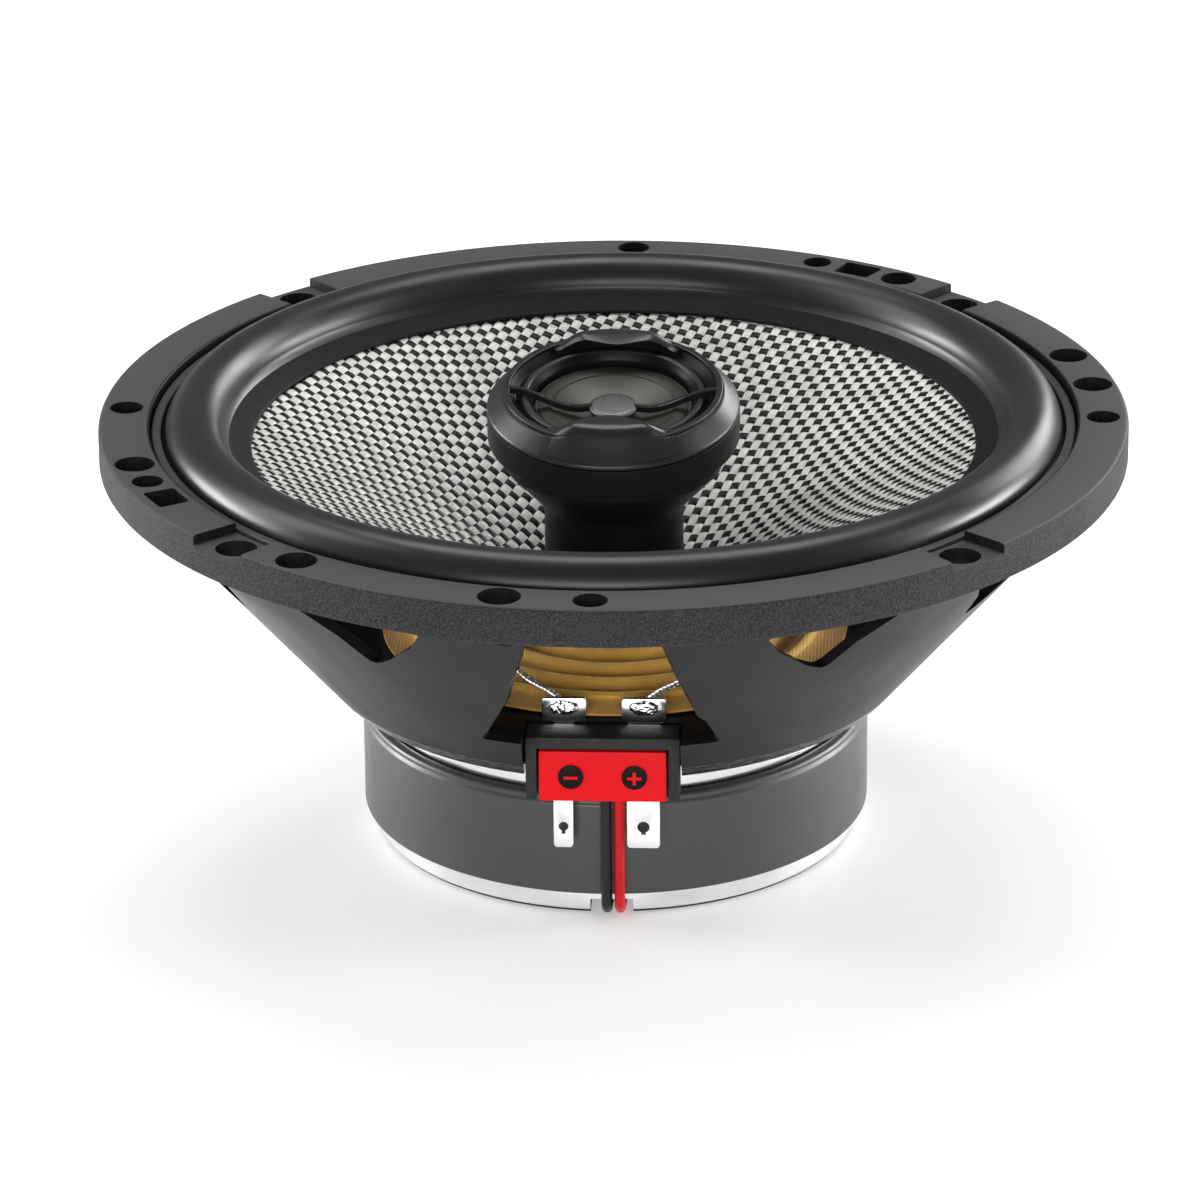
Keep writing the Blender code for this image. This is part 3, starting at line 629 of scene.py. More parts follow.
def basket_outline():
    wall_top = BASKET_BOTTOM + (SEAT_R + WALL - BOTTOM_R) / (NECK_R - BOTTOM_R) * (NECK_Z - BASKET_BOTTOM)
    return rounded([
        (FLANGE_INNER_R, FLANGE_TOP, 0.35),
        (FLANGE_R, FLANGE_TOP, 0.7),
        (FLANGE_R, FLANGE_BASE, 0.7),
        (NECK_R + 1.0, FLANGE_BASE, 0.4),
        (NECK_R, NECK_Z, 0.8),
        (BOTTOM_R, BASKET_BOTTOM, 2.2),
        (BORE_R, BASKET_BOTTOM, 0.2),
        (BORE_R, FLOOR_Z, 0.2),
        (wall_radius(FLOOR_Z) - WALL, FLOOR_Z, 0.6),
        (wall_radius(LEDGE_BASE) - WALL, LEDGE_BASE, 0.2),
        (LEDGE_R, LEDGE_BASE, 0.2),
        (LEDGE_R, LEDGE_TOP, 0.3),
        (wall_radius(LEDGE_TOP) - WALL, LEDGE_TOP, 0.4),
        (SEAT_R, wall_top, 0.6),
        (SEAT_R, SEAT_Z, 0.3),
        (FLANGE_INNER_R, SEAT_Z, 0.0),
    ])


def radial_cut(shape, corners):
    """Add a cutter that runs outwards through the wall from (azimuth, height) corners."""
    reach = (50.0, 92.0)
    skin(shape, [[around(radius, azimuth, height) for azimuth, height in corners] for radius in reach])


def flange_cut(shape, azimuth, corners, base):
    """Add a cutter that runs up through the flange from (radius, azimuth) corners."""
    heights = (base, CUT_TOP)
    skin(shape, [[around(radius, azimuth + offset, z) for radius, offset in corners] for z in heights])


def window_cutter():
    shape = bmesh.new()
    for quarter in range(4):
        centre = 90.0 * quarter
        left = [(centre - half, height, 1.2) for half, height in TALL_WINDOW]
        right = [(centre + half, height, 1.2) for half, height in reversed(TALL_WINDOW)]
        radial_cut(shape, rounded(left + right))
        for side in (-1, 1):
            corners = [(centre + side * azimuth, height, 1.2) for azimuth, height in SMALL_WINDOW]
            radial_cut(shape, rounded(corners))
    return add_object("window_cutter", shape)


def flange_cutter():
    shape = bmesh.new()
    for azimuth, width in SCREW_HOLES + CLIP_HOLES:
        centre = around(SCREW_R, azimuth, 0.0)
        outline = [(0, CUT_TOP), (width / 2, CUT_TOP), (width / 2, CUT_BASE), (0, CUT_BASE)]
        turn(shape, outline, 36, (centre.x, centre.y))
    for azimuth in CLIP_SLOTS:
        flange_cut(shape, azimuth, rectangle(75.6, -2.4, 80.8, 2.4, 0.5), CUT_BASE)
    return add_object("flange_cutter", shape)


def recess_cutter():
    shape = bmesh.new()
    for quarter in range(4):
        corners = [(72.0, -RECESS_HALF_DEG), (86.0, -RECESS_HALF_DEG)]
        corners += [(86.0, RECESS_HALF_DEG), (72.0, RECESS_HALF_DEG)]
        flange_cut(shape, 45.0 + 90.0 * quarter, corners, FLANGE_TOP - RECESS_DEPTH)
    return add_object("recess_cutter", shape)


def notch_cutter():
    """Make the cutter of the notch in which the terminals sit."""
    return block("notch_cutter", rectangle(-12.4, -60.0, 12.4, -37.4, 0.6), "z", 20.0, 36.0)


def split_ring(piece, height):
    """Cut a piece's faces along a level so that its finish can change there."""
    shape = bmesh.new()
    shape.from_mesh(piece.data)
    geometry = list(shape.verts) + list(shape.edges) + list(shape.faces)
    bmesh.ops.bisect_plane(shape, geom=geometry, plane_co=(0.0, 0.0, height * MM), plane_no=(0.0, 0.0, 1.0))
    shape.to_mesh(piece.data)
    shape.free()


def basket_finish(face):
    """Choose the coat of one of the basket's faces."""
    radius = math.hypot(face.center.x, face.center.y) / MM
    height = face.center.z / MM
    if height > FLANGE_BASE - 0.5 and radius > FLANGE_INNER_R + 0.4:
        if face.normal.z > 0.6:
            return COAT_TOP
        # Painted shade: the walls of the flange's holes, slots and recesses take the darker wall coat.
        shaded_hole_wall = face.normal.z < 0.3 and radius < FLANGE_R - 0.9
        return COAT_WALL if shaded_hole_wall else COAT_SKIRT
    if height < GLOSS_TOP and face.normal.z < 0.3:
        return COAT_RING
    return COAT_WALL


def make_basket():
    basket = turned("basket_shell", basket_outline())
    carve(basket, [window_cutter(), notch_cutter(), recess_cutter(), flange_cutter()])
    soften(basket, 0.25)
    split_ring(basket, GLOSS_TOP)
    finishes = (COAT_WALL, COAT_SKIRT, COAT_TOP, COAT_RING)
    for material in finishes:
        basket.data.materials.append(material)
    for face in basket.data.polygons:
        face.material_index = finishes.index(basket_finish(face))
    dress(basket, COAT_WALL, "frame", "basket", "basket")
    outline = rounded([
        (CLAMP_R - 1.5, CLAMP_TOP, 0.3), (CLAMP_R, CLAMP_TOP, 0.3),
        (CLAMP_R, CLAMP_TOP - 0.9, 0.1), (CLAMP_R - 1.5, CLAMP_TOP - 0.9, 0.1),
    ])
    ring = turned("clamp_ring", outline)
    dress(ring, CLAMP_PLASTIC, "frame", "surround_clamp_ring", "surround_clamp_ring")


# ---------------------------------------------------------------- motor

def make_motor():
    outline = rounded([
        (4.4, POLE_TOP, 0.3), (POLE_R, POLE_TOP, 0.5), (POLE_R, BACK_PLATE_TOP, 0.0),
        (BACK_PLATE_R, BACK_PLATE_TOP, 0.2), (BACK_PLATE_R, 0.9, 0.3), (BACK_PLATE_R - 0.8, 0.0, 0.3),
        (8.4, 0.0, 0.3), (8.4, 4.9, 0.0), (4.4, 4.9, 0.3),
    ])
    back_plate = turned("back_plate", outline)
    groove = block("groove_cutter", rectangle(-2.4, -1.0, 4.4, 2.6, 0.3), "y", -45.0, -4.0)
    carve(back_plate, [groove])
    back_plate.data.materials.append(ZINC)
    back_plate.data.materials.append(EDGE_SHADE)
    # Painted shade: the bottom chamfer and the wire groove take EDGE_SHADE instead of zinc.
    for face in back_plate.data.polygons:
        x, y, z = face.center / MM
        in_groove = -2.5 < x < 4.5 and -BACK_PLATE_R + 0.1 < y < 0.0 and z < 2.7
        face.material_index = 1 if z < 0.7 or in_groove else 0
    dress(back_plate, ZINC, "frame", "zinc_plate", "back_plate_and_pole")
    outline = rounded([
        (GAP_R, TOP_PLATE_TOP, 0.2), (TOP_PLATE_R, TOP_PLATE_TOP, 0.5),
        (TOP_PLATE_R, TOP_PLATE_BASE, 0.2), (GAP_R, TOP_PLATE_BASE, 0.2),
    ])
    dress(turned("front_plate", outline), ZINC, "frame", "zinc_plate", "top_plate")
    outline = rounded([
        (MAGNET_R + 0.4, BOOT_TOP - 0.6, 0.15), (MAGNET_R + 1.5, BOOT_TOP - 0.8, 0.4),
        (BOOT_R - 0.3, BOOT_TOP - 1.3, 0.2), (BOOT_R - 0.35, BOOT_TOP - 1.8, 0.2),
        (BOOT_R, BOOT_TOP - 2.3, 0.3), (BOOT_R, BOOT_BASE, 0.4),
        (MAGNET_R + 0.4, BOOT_BASE, 0.1),
    ])
    dress(turned("boot", outline), BOOT_RUBBER, "frame", "boot", "magnet_boot")


# ---------------------------------------------------------------- cone

def cone_height(radius):
    """Give the height of the cone's woven face at a radius."""
    share = (radius - CONE_NECK_R) / (CONE_EDGE_R - CONE_NECK_R)
    return CONE_NECK_Z + CONE_RISE * share + CONE_CURVE * share * share


def make_cone():
    steps = 40
    radii = [CONE_R - (CONE_R - CONE_BORE_R) * step / steps for step in range(steps + 1)]
    upper = [(radius, cone_height(radius) - 0.16) for radius in reversed(radii)]
    lower = [(radius, cone_height(radius) - 0.55) for radius in radii]
    base = turned("cone_backing", upper + lower)
    dress(base, RESIN, "cone_assembly", "cone", "cone")
    # One set of yarns takes the painted-highlight yarn and the set across it takes the painted-shade yarn.
    for name, angle, width, material in (
        ("cone_highlit_yarns", HIGHLIT_YARN_DEG, HIGHLIT_YARN_WIDTH, HIGHLIT_YARN),
        ("cone_shaded_yarns", HIGHLIT_YARN_DEG - 90.0, SHADED_YARN_WIDTH, SHADED_YARN),
    ):
        dress(make_yarns(name, angle, width), material, "cone_assembly", "cone")


def yarn_runs(offset):
    """Give the starts and ends of a yarn at an offset from the axis, cut in two by the cone's neck."""
    far = math.sqrt(YARN_REACH ** 2 - offset ** 2)
    if abs(offset) >= YARN_HOLE_R:
        return [(-far, far)]
    near = math.sqrt(YARN_HOLE_R ** 2 - offset ** 2)
    return [(-far, -near), (near, far)]


def make_yarns(name, angle_deg, yarn_width):
    """Lay parallel yarns over the cone that dive under and over the yarns across them."""
    along = np.array([math.cos(math.radians(angle_deg)), math.sin(math.radians(angle_deg))])
    across = np.array([-along[1], along[0]])
    count = int(YARN_REACH / YARN_PITCH) + 1
    profile = [(-0.5, 0.0), (-0.26, 0.9), (0.0, 1.0), (0.26, 0.9), (0.5, 0.0)]
    points, faces, uvs = [], [], []
    for index in range(-count, count):
        offset = (index + 0.5) * YARN_PITCH
        if abs(offset) >= YARN_REACH - 0.3:
            continue
        for start, end in yarn_runs(offset):
            steps = max(int((end - start) / (YARN_PITCH / 3)), 2)
            first = len(points)
            for step in range(steps + 1):
                run = start + (end - start) * step / steps
                crossing = run / YARN_PITCH - 0.5
                swing = math.cos(math.pi * (crossing + index)) * YARN_SWING
                for side, lift in profile:
                    place = along * run + across * (offset + side * yarn_width)
                    height = cone_height(math.hypot(place[0], place[1]))
                    height += swing + (lift - 0.6) * YARN_CROWN
                    points.append((place[0] * MM, place[1] * MM, height * MM))
                    uvs.append((run, side * yarn_width))
            row = len(profile)
            for step in range(steps):
                for lane in range(row - 1):
                    corner = first + step * row + lane
                    faces.append((corner, corner + row, corner + row + 1, corner + 1))
    return add_sheet(name, points, faces, uvs)


def add_sheet(name, points, faces, uvs):
    """Make an open sheet that faces up, with a UV place for each point."""
    mesh = bpy.data.meshes.new(name)
    mesh.from_pydata(points, [], faces)
    layer = mesh.uv_layers.new(name="fibres")
    for loop in mesh.loops:
        layer.data[loop.index].uv = uvs[loop.vertex_index]
    mesh.shade_smooth()
    mesh.update()
    if sum(face.normal.z for face in mesh.polygons) < 0:
        mesh.flip_normals()
    piece = bpy.data.objects.new(name, mesh)
    bpy.context.scene.collection.objects.link(piece)
    return piece


def make_surround():
    """Make the rubber roll, its flat outer foot and the lip glued on the cone."""
    height = ROLL_TOP - ROLL_BASE_Z
    over = [(ROLL_CENTRE_R + x, ROLL_BASE_Z + z) for x, z in half_ellipse(ROLL_HALF_WIDTH, height, 30)]
    under = half_ellipse(ROLL_HALF_WIDTH - 0.8, height - 0.8, 20)
    lip_r = CONE_EDGE_R + 0.1
    lip_z = cone_height(lip_r)
    outline = rounded([(SURROUND_R, 67.5, 0.1), (SURROUND_R, 68.1, 0.2), (72.4, 68.1, 0.3)])
    outline += over[1:-1]
    outline += rounded([
        (62.1, 68.1, 0.5), (61.2, lip_z + 2.1, 0.8), (lip_r, lip_z + 0.8, 0.3), (lip_r, lip_z + 0.3, 0.1),
    ])
    outline += [(61.6, cone_height(61.6) + 0.3), (62.6, 67.5)]
    outline += [(ROLL_CENTRE_R + x, ROLL_BASE_Z + z) for x, z in reversed(under)]
    outline += [(71.5, 67.5)]
    surround = turned("surround_roll", outline)

    def follow(point):
        radius = math.hypot(point.x, point.y)
        return 1.0 - ease(radius, ROLL_CENTRE_R - ROLL_HALF_WIDTH, ROLL_CENTRE_R + ROLL_HALF_WIDTH)

    flex(surround, SURROUND_RUBBER, ("frame", "cone_assembly"), follow, "surround", "surround")
    surround.data.materials.append(LIP_RUBBER)
    for face in surround.data.polygons:
        face.material_index = 1 if math.hypot(face.center.x, face.center.y) / MM < 62.0 else 0


def make_spider():
    """Make the corrugated golden cloth disc between the former and the basket."""
    upper = []
    count = 100
    for step in range(count + 1):
        share = step / count
        radius = SPIDER_INNER_R + (SPIDER_OUTER_R - SPIDER_INNER_R) * share
        swing = math.sin(math.tau * SPIDER_WAVES * share) * ease(share, 0.0, 0.05)
        upper.append((radius, SPIDER_Z + 0.8 * swing * (1.0 - ease(share, 0.97, 1.0))))
    upper += [(34.6, 34.1), (SPIDER_R, 34.1)]
    lower = [(radius, height - 0.4) for radius, height in reversed(upper)]
    spider = turned("spider_cloth", upper + lower)

    def follow(point):
        radius = math.hypot(point.x, point.y)
        return 1.0 - ease(radius, SPIDER_INNER_R, SPIDER_OUTER_R)

    flex(spider, GOLD_CLOTH, ("frame", "cone_assembly"), follow, "spider", "spider")


# ---------------------------------------------------------------- tweeter

def make_post():
    cup = arc(17.1, -58.2, -25.6, 12, (0.0, PIVOT.z))
    outline = rounded([
        (17.4, POST_TOP, 0.1), (17.5, 61.7, 0.4), (14.7, 58.8, 1.5), (11.2, 55.0, 1.5), (11.2, 25.6, 0.2),
        (4.1, 25.6, 0.0), (4.1, 3.3, 0.1), (2.7, 3.3, 0.1), (2.7, 27.0, 0.0), (9.0, 29.0, 0.0),
    ])
    post = turned("centre_post", outline + cup, MIDDLE)
    dress(post, SHELL_PLASTIC, "frame", "tweeter_plastic", "tweeter_post")


def petal(middle_deg, half_deg, section):
    """Give a lobe's sections from (radius, height, reach) points: it grows out of the rim at both ends."""
    steps = 60
    sections = []
    for step in range(steps + 1):
        share = 2.0 * step / steps - 1.0
        taper = math.cos(share * math.pi / 2.0) ** 2
        lift = ease(1.0 - abs(share), 0.0, 0.5)
        places = []
        for radius, height, reach in section:
            raised = max(height - RIM_TOP, 0.0) * lift + min(height, RIM_TOP)
            places.append(around(radius - reach * taper, middle_deg + half_deg * share, raised))
        sections.append(places)
    return sections


def add_to_head(name, sections, material, slot):
    """Make a piece of the tweeter's head that stands for no CAD node from its sections."""
    shape = bmesh.new()
    skin(shape, sections)
    shape.transform(TILT)
    dress(add_object(name, shape), material, "tweeter_head", slot)


def make_tweeter_head():
    ball = arc(15.6, -7.5, -54.0, 24)
    wall = rounded([
        (12.6, 1.2, 0.0), (HEAD_R, 1.2, 0.2), (HEAD_R, -3.8, 0.7),
        (HEAD_R - 1.0, -3.8, 0.3), (HEAD_R - 1.0, -2.0, 0.0),
    ])
    outline = wall + ball
    outline += [(3.0, ball[-1].y), (3.0, -9.4), (12.0, -9.4), (12.0, 0.8), (12.6, 0.8)]
    shell = turned("head_shell", outline, MIDDLE, placed=TILT)
    dress(shell, SHELL_PLASTIC, "tweeter_head", "tweeter_plastic", "tweeter_head_shell")
    outline = rounded([
        (HEAD_R, 1.5, 0.0), (HEAD_R, 1.95, 0.4), (HEAD_R - 0.5, 2.5, 0.5), (17.9, 4.5, 0.35),
        (16.9, 4.5, 0.3), (15.5, 2.7, 0.8), (14.6, 4.05, 0.25), (13.8, 4.05, 0.25),
        (12.9, 2.6, 0.4), (12.9, 1.5, 0.0),
    ])
    bezel = turned("head_bezel", outline, MIDDLE, placed=TILT)
    bezel.data.materials.append(BEZEL_PLASTIC)
    bezel.data.materials.append(SHELL_PLASTIC)
    # Painted shade: the throat's faces, all but the ridge's top, take the darker, less glossy shell
    # plastic, so the throat reads black and only the ridge stays light.
    back = TILT.inverted()
    for face in bezel.data.polygons:
        x, y, height = back @ face.center / MM
        radius = math.hypot(x, y)
        on_ridge = 13.6 < radius < 14.9 and height > 3.6
        face.material_index = 1 if radius < 16.9 and not on_ridge else 0
    dress(bezel, BEZEL_PLASTIC, "tweeter_head", "tweeter_plastic", "tweeter_bezel")
    section = [(19.9, 2.4, 0.0), (20.05, 2.55, 0.0), (18.05, 4.7, 0.0), (17.45, 5.6, 0.0)]
    section += [(16.75, 6.45, 0.1), (16.6, 6.3, 0.1), (17.3, 5.3, 0.0), (17.5, 4.6, 0.0)]
    add_to_head("bezel_front_panel", petal(1.0, 35.0, section), BEZEL_PLASTIC, "tweeter_plastic")


def make_grille():
    """Make the grille: a rim, a front and a back lobe and two bars that hold the centre disc."""
    outline = rounded([(17.6, 5.1, 0.15), (17.6, 4.6, 0.0), (16.6, 4.5, 0.0), (16.6, 5.1, 0.15)])
    rim = turned("grille_rim", outline, MIDDLE, placed=TILT)
    dress(rim, GRILLE_PLASTIC, "tweeter_head", "grille", "tweeter_grille")
    section = [(17.5, 4.7, 0.0), (17.5, 5.5, 0.0), (16.9, 6.35, 0.1), (16.2, 6.82, 0.4), (15.6, 6.86, 1.6)]
    section += [(15.4, 6.5, 4.0), (15.6, 6.2, 4.0), (16.2, 5.6, 2.0), (16.6, 4.7, 0.0)]
    for name, middle in (("grille_front_lobe", 0.0), ("grille_back_lobe", 180.0)):
        add_to_head(name, petal(middle, 38.0, section), GRILLE_PLASTIC, "grille")
    for name, side in (("grille_left_bar", -1), ("grille_right_bar", 1)):
        add_to_head(name, grille_bar(side), GRILLE_PLASTIC, "grille")
    outline = rounded([
        (0.0, 2.1, 0.0), (DISC_R - 0.65, 1.95, 0.3), (DISC_R, 1.6, 0.25),
        (DISC_R, 1.0, 0.2), (0.0, 1.0, 0.0),
    ])
    dress(turned("grille_disc", outline, 64, placed=TILT), DISC_METAL, "tweeter_head", "grille")


def grille_bar(side):
    """Give the sections of a bar that falls from the rim to the disc and bows to the front."""
    profile = [(-0.5, 0.0), (-0.3, 0.15), (0.3, 0.15), (0.5, 0.0), (0.45, -0.95), (-0.45, -0.95)]
    stations = 24
    sections = []
    for step in range(stations + 1):
        share = step / stations
        x = side * (17.0 - 13.6 * share)
        y = -1.1 * math.sin(math.pi * share)
        z = 5.0 - 3.2 * ease(share, 0.12, 0.9)
        sections.append([(x, y + dy, z + dz) for dy, dz in profile])
    return sections


def make_dome():
    upper = []
    steps = 30
    for step in range(steps + 1):
        share = 1.0 - step / steps
        upper.append((DOME_R * share, -0.9 + 2.6 * share * share))
    lower = [(radius, height - 0.2) for radius, height in reversed(upper)]
    dome = turned("dome_foil", upper + lower, MIDDLE, placed=TILT)
    dress(dome, DOME_FOIL, "tweeter_diaphragm", "dome", "tweeter_dome")
    over = [(10.95 + x, 1.75 + z) for x, z in half_ellipse(1.15, 0.25, 16)]
    outline = [(12.5, 1.5), (12.5, 1.75)] + over + [(9.75, 1.72)]
    outline += [(radius, height - 0.2) for radius, height in reversed(over)]
    suspension = turned("dome_suspension", outline, MIDDLE, placed=TILT)
    back = TILT.inverted()

    def follow(point):
        local = back @ (point * MM) / MM
        return 1.0 - ease(math.hypot(local.x, local.y), 10.1, 12.1)

    bodies = ("tweeter_head", "tweeter_diaphragm")
    flex(suspension, TWEETER_CLOTH, bodies, follow, "tweeter_suspension", "tweeter_suspension")


# ---------------------------------------------------------------- terminals and wires

def make_terminals():
    """Make the housing, the red block that sits in it and all that the two terminals carry."""
    back = -40.8
    roof = rectangle(-HOUSING_X, 31.2, HOUSING_X, HOUSING_TOP, 0.3)
    housing = block("housing_roof", roof, "y", HOUSING_FRONT_Y, -39.3)
    helpers = []
    for index, (x0, x1) in enumerate(((-HOUSING_X, -10.4), (10.4, HOUSING_X))):
        side = rectangle(x0, HOUSING_BASE, x1, 31.6, 0.25)
        helpers.append(block(f"housing_side_{index}", side, "y", HOUSING_FRONT_Y, back))
    wall = rectangle(-11.0, HOUSING_BASE, 11.0, 29.0, 0.2)
    helpers.append(block("housing_back", wall, "y", -42.1, back))
    tongue = rectangle(-3.4, 27.9, 3.4, 29.0, 0.2)
    helpers.append(block("housing_tongue", tongue, "y", -41.5, -26.5))
    carve(housing, helpers, "UNION")
    soften(housing, 0.25)
    dress(housing, HOUSING_PLASTIC, "frame", "housing", "terminal_housing")
    outline = rectangle(BLOCK_LOW.x, BLOCK_LOW.z, BLOCK_HIGH.x, BLOCK_HIGH.z, 0.35)
    red = block("red_block", outline, "y", BLOCK_LOW.y, BLOCK_HIGH.y)
    soften(red, 0.2)
    dress(red, RED_PLASTIC, "frame", "terminal_block", "terminal_block")
    for name, side, half, radius in (("minus", -1, 1.55, 0.75), ("plus", 1, 2.6, 0.95)):
        make_spade(name, side, half, radius)
        make_mark(name, side * MARK_X)
        make_solder(name, Vector((side * (SPADE_X + 0.1), LUG_Y - 0.4, 35.6)))


def make_spade(name, side, half, radius):
    """Bend one terminal: a tab with a keyhole, a run behind the block and a solder lug on top."""
    centre_x = side * SPADE_X
    path = [
        (TAB_Y, 13.6, half - 0.5), (TAB_Y, 13.75, half - 0.2), (TAB_Y, 14.2, half), (TAB_Y, 21.8, half),
        (TAB_Y + 0.2, 22.2, half), (TAB_Y + 0.2, 29.6, half), (LUG_Y - 0.3, 29.9, half),
        (LUG_Y, 30.2, half), (LUG_Y, 33.2, half), (LUG_Y, 33.5, 3.3), (LUG_Y, 33.7, 3.5),
        (LUG_Y, 36.9, 3.5), (LUG_Y, 37.2, 3.2),
    ]
    middle = [Vector((y, z)) for y, z, _ in path]
    runs = [(after - before).normalized() for before, after in zip(middle, middle[1:])]
    sections = []
    for index, (_, _, width) in enumerate(path):
        arriving = runs[max(index - 1, 0)]
        leaving = runs[min(index, len(runs) - 1)]
        along = (arriving + leaving).normalized()
        normal = Vector((-along.y, along.x)) * (SPADE_THICKNESS / 2 / along.dot(arriving))
        corners = []
        for x, turn_side in ((-width, 1), (width, 1), (width, -1), (-width, -1)):
            flat = middle[index] + normal * turn_side
            corners.append((centre_x + x, flat.x, flat.y))
        sections.append(corners)
    shape = bmesh.new()
    skin(shape, sections)
    spade = add_object(f"spade_{name}", shape)
    keyhole = [(point.x, point.y) for point in arc(radius, -70, 250, 24, (centre_x, KEYHOLE_Z))]
    keyhole += [(centre_x - radius * 0.42, 15.9), (centre_x + radius * 0.42, 15.9)]
    carve(spade, [block("keyhole_cutter", keyhole, "y", -48.0, -41.0)])
    soften(spade, 0.12)
    dress(spade, TIN, "frame", "spade", f"spade_terminal_{name}")


def make_solder(name, centre):
    """Set a lumpy mound of solder on a lug where its lead ends."""
    shape = bmesh.new()
    bmesh.ops.create_icosphere(shape, subdivisions=5, radius=1.0)
    for vertex in shape.verts:
        lump = noise.noise(vertex.co * 1.7 + centre) * 0.3 + noise.noise(vertex.co * 4.0 + centre) * 0.14
        place = vertex.co * (1.0 + lump)
        vertex.co = (centre + Vector((place.x * 2.3, place.y * 0.6, place.z * 1.2))) * MM
    dress(add_object(f"solder_{name}", shape, 180.0), SOLDER, "frame", "spade")


def make_mark(name, centre_x):
    """Make a round black polarity mark with a raised red sign."""
    face = BLOCK_LOW.y
    outline = arc(2.0, 0, 352.5, 47, (centre_x, MARK_Z))
    disc = block(f"mark_disc_{name}", outline, "y", face - 0.3, face + 0.1)
    soften(disc, 0.08)
    dress(disc, MARK_BLACK, "frame", "polarity_mark", f"polarity_mark_{name}")
    level = rectangle(centre_x - 1.1, MARK_Z - 0.25, centre_x + 1.1, MARK_Z + 0.25, 0.06)
    sign = block(f"mark_sign_{name}", level, "y", face - 0.5, face - 0.2)
    if name == "plus":
        upright = rectangle(centre_x - 0.25, MARK_Z - 1.1, centre_x + 0.25, MARK_Z + 1.1, 0.06)
        carve(sign, [block("upright", upright, "y", face - 0.5, face - 0.2)], "UNION")
    dress(sign, RED_PLASTIC, "frame", "polarity_mark")


def make_wires():
    """Lead the tweeter's wires down the boot, under the back plate and up the hollow pole."""
    for name, top_x, pole_x, material in (
        ("black", 0.35, -1.15, BLACK_WIRE),
        ("red", 2.45, 1.15, RED_WIRE),
    ):
        knots = [(top_x, -42.4, 22.0), (top_x, -42.4, 14.0), (top_x, -42.3, 5.0), (top_x, -41.0, 2.3)]
        knots += [(top_x, -38.2, 1.25), (top_x, -30.0, 1.25), (pole_x, -10.0, 1.25)]
        knots += [(pole_x, -4.0, 1.25), (pole_x, -0.9, 2.1), (pole_x, 0.0, 4.8), (pole_x, 0.0, 27.5)]
        if name == "red":
            knots += [(2.6, 0.0, 31.0), (3.6, 0.0, 35.6)]
        else:
            knots += [(-2.2, 0.0, 30.5), (-4.8, 0.0, 36.0), (-5.0, 0.0, 54.2)]
        shape = bmesh.new()
        tube(shape, smooth_route(knots, 10), WIRE_R, 20)
        wire = add_object(f"{name}_wire", shape)
        dress(wire, material, "frame", f"wire_{name}", f"tweeter_wire_{name}")


def make_tinsel_leads():
    """Twist each lead from three silver strands between its lug and the back of the cone."""
    for name, side in (("left", -1), ("right", 1)):
        knots = [(side * 6.5, -38.4, 36.6), (side * 8.6, -36.4, 37.4), (side * 12.6, -33.6, 38.6)]
        knots += [(side * 16.2, -29.2, 40.8), (side * 18.0, -24.2, 43.6), (side * 17.0, -20.2, 46.7)]
        points = smooth_route(knots, 24)
        shape = bmesh.new()
        for strand in range(3):
            tube(shape, points, STRAND_R, 8, STRAND_R + 0.03, 0.45, strand / 3)
        lead = add_object(f"tinsel_braid_{name}", shape)
        root = points[0]
        reach = (points[-1] - root).length

        def follow(point, root=root, reach=reach):
            return ease((point - root).length / reach, 0.0, 1.0)

        flex(lead, BRAID, ("frame", "cone_assembly"), follow, "tinsel", f"tinsel_lead_{name}")


def repaint_inner_pieces():
    for index in range(1, 7):
        repaint(f"basket_rivet_{index}", RIVET_STEEL)
    finishes = {
        "ferrite_magnet": FERRITE,
        "voice_coil_former": FORMER_FILM,
        "voice_coil": COPPER,
        "tweeter_voice_coil": COPPER,
        "post_nut": RIVET_STEEL,
        "crossover_capacitor": CAPACITOR_WRAP,
        "capacitor_lead": TIN,
        "ball_friction_liner": LINER_PLASTIC,
        "tweeter_yoke": MOTOR_STEEL,
        "tweeter_magnet": NICKEL,
        "tweeter_pole_plate": MOTOR_STEEL,
    }
    for node, material in finishes.items():
        repaint(node, material)


# ---------------------------------------------------------------- floor, lights and camera

def add_light(name, size, place, power):
    """Hang a softbox that faces the middle of the speaker, with its size and place in metres."""
    data = bpy.data.lights.new(name, "AREA")
    data.shape = "RECTANGLE"
    data.size, data.size_y = size
    data.energy = power
    light = bpy.data.objects.new(name, data)
    light.location = place
    aim = Vector((0.0, 0.0, 0.045)) - Vector(place)
    light.rotation_euler = aim.to_track_quat("-Z", "Y").to_euler()
    bpy.context.scene.collection.objects.link(light)


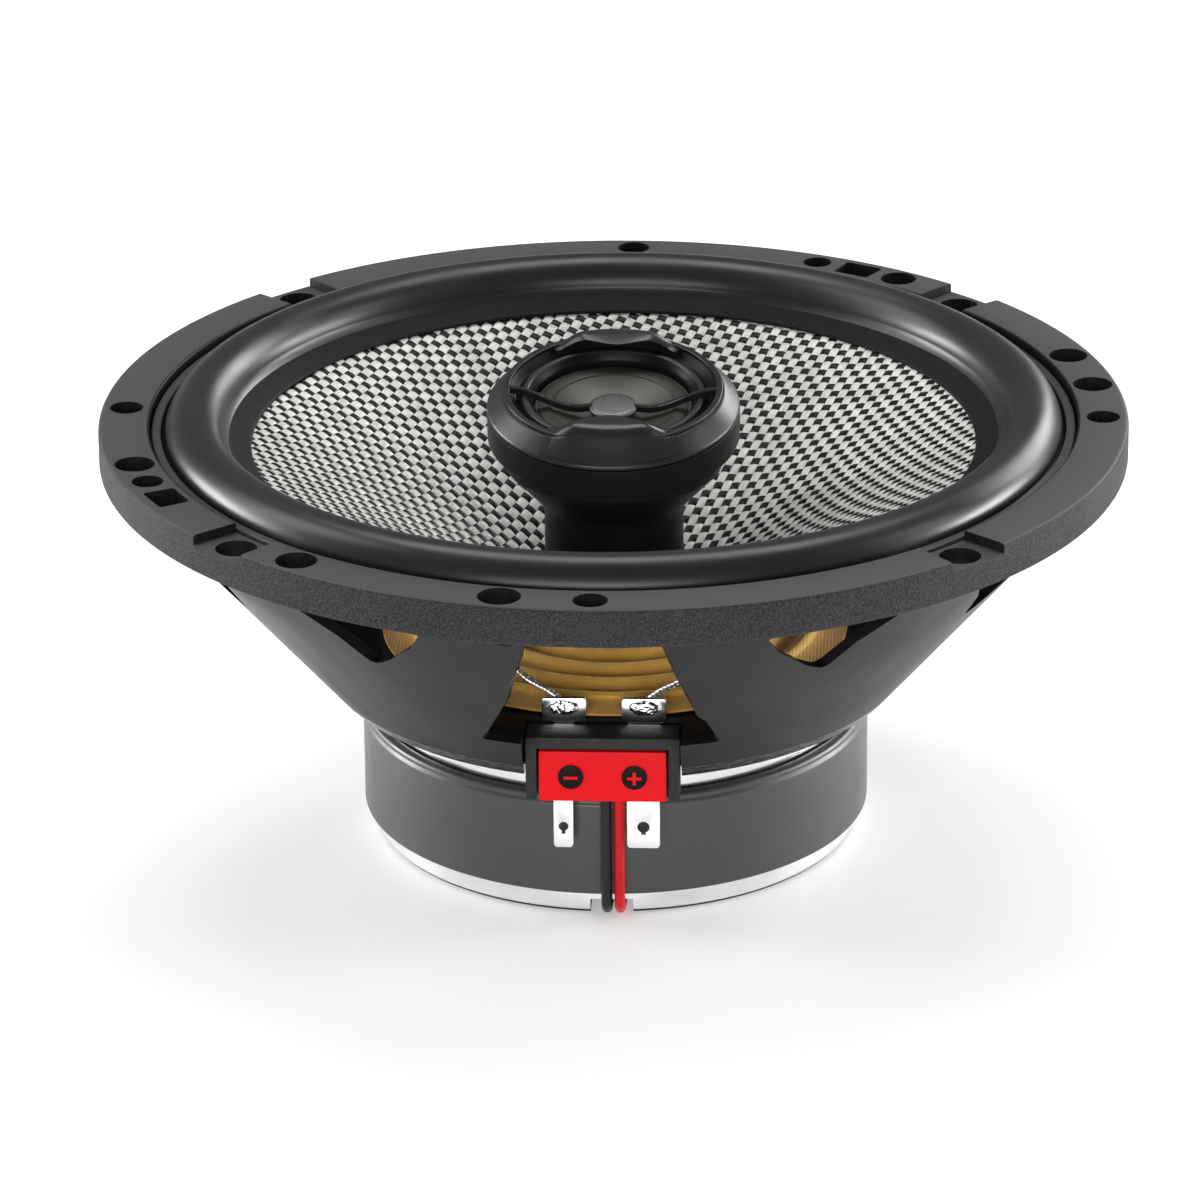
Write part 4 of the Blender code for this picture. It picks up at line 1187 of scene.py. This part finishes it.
def make_stage():
    floor = block("floor", rectangle(-6000.0, -6000.0, 6000.0, 6000.0, 100.0), "z", -20.0, -0.05)
    glow = {"Emission_Color": (1.0, 1.0, 1.0, 1.0), "Emission_Strength": 0.35}
    look = Look("pale_floor", (0.8, 0.8, 0.8), 0.6, **glow)
    look.tint(look.noise(0.01, 2.0), (0.79, 0.79, 0.79), (0.81, 0.81, 0.81))
    floor.data.materials.append(look.material)
    world = bpy.data.worlds.new("studio")
    world.use_nodes = True
    sky = world.node_tree.nodes["Background"]
    sky.inputs["Color"].default_value = (1.0, 1.0, 1.0, 1.0)
    sky.inputs["Strength"].default_value = 0.22
    bpy.context.scene.world = world
    add_light("left_softbox", (0.45, 0.8), (-0.85, 0.20, 0.66), 4.0)
    add_light("right_softbox", (0.3, 0.7), (0.90, 0.05, 0.42), 1.5)
    add_light("back_softbox", (0.7, 0.5), (0.80, 1.05, 0.50), 9.0)
    add_light("top_softbox", (0.9, 0.45), (0.0, 0.40, 1.05), 5.0)
    add_light("front_softbox", (1.1, 0.4), (-0.1, -1.35, 0.38), 9.0)
    add_light("left_low_softbox", (0.5, 0.3), (-1.0, 0.30, 0.16), 9.0)
    add_light("right_low_softbox", (0.5, 0.3), (1.0, 0.30, 0.16), 9.0)


def make_camera():
    """Stand 1.1 m away, 22 degrees above the horizon and 2.7 degrees to the right of the terminals."""
    elevation = math.radians(22.053)
    azimuth = math.radians(2.7)
    target = Vector((0.0, 0.0, 0.05))
    back = Vector((
        math.sin(azimuth) * math.cos(elevation),
        -math.cos(azimuth) * math.cos(elevation),
        math.sin(elevation),
    ))
    data = bpy.data.cameras.new("camera")
    data.sensor_width = 36.0
    data.lens = 204.3
    data.shift_x = -0.0119
    data.shift_y = -0.0583
    data.clip_start = 0.05
    data.clip_end = 50.0
    camera = bpy.data.objects.new("camera", data)
    camera.location = target + back * 1.1
    roll = Quaternion((0.0, 0.0, 1.0), math.radians(-0.428))
    camera.rotation_mode = "QUATERNION"
    camera.rotation_quaternion = (-back).to_track_quat("-Z", "Y") @ roll
    bpy.context.scene.collection.objects.link(camera)
    bpy.context.scene.camera = camera


def main():
    bpy.context.scene.view_settings.view_transform = "Standard"
    make_camera()
    make_basket()
    make_motor()
    make_cone()
    make_surround()
    make_spider()
    make_post()
    make_tweeter_head()
    make_grille()
    make_dome()
    make_terminals()
    make_wires()
    make_tinsel_leads()
    repaint_inner_pieces()
    make_stage()


main()
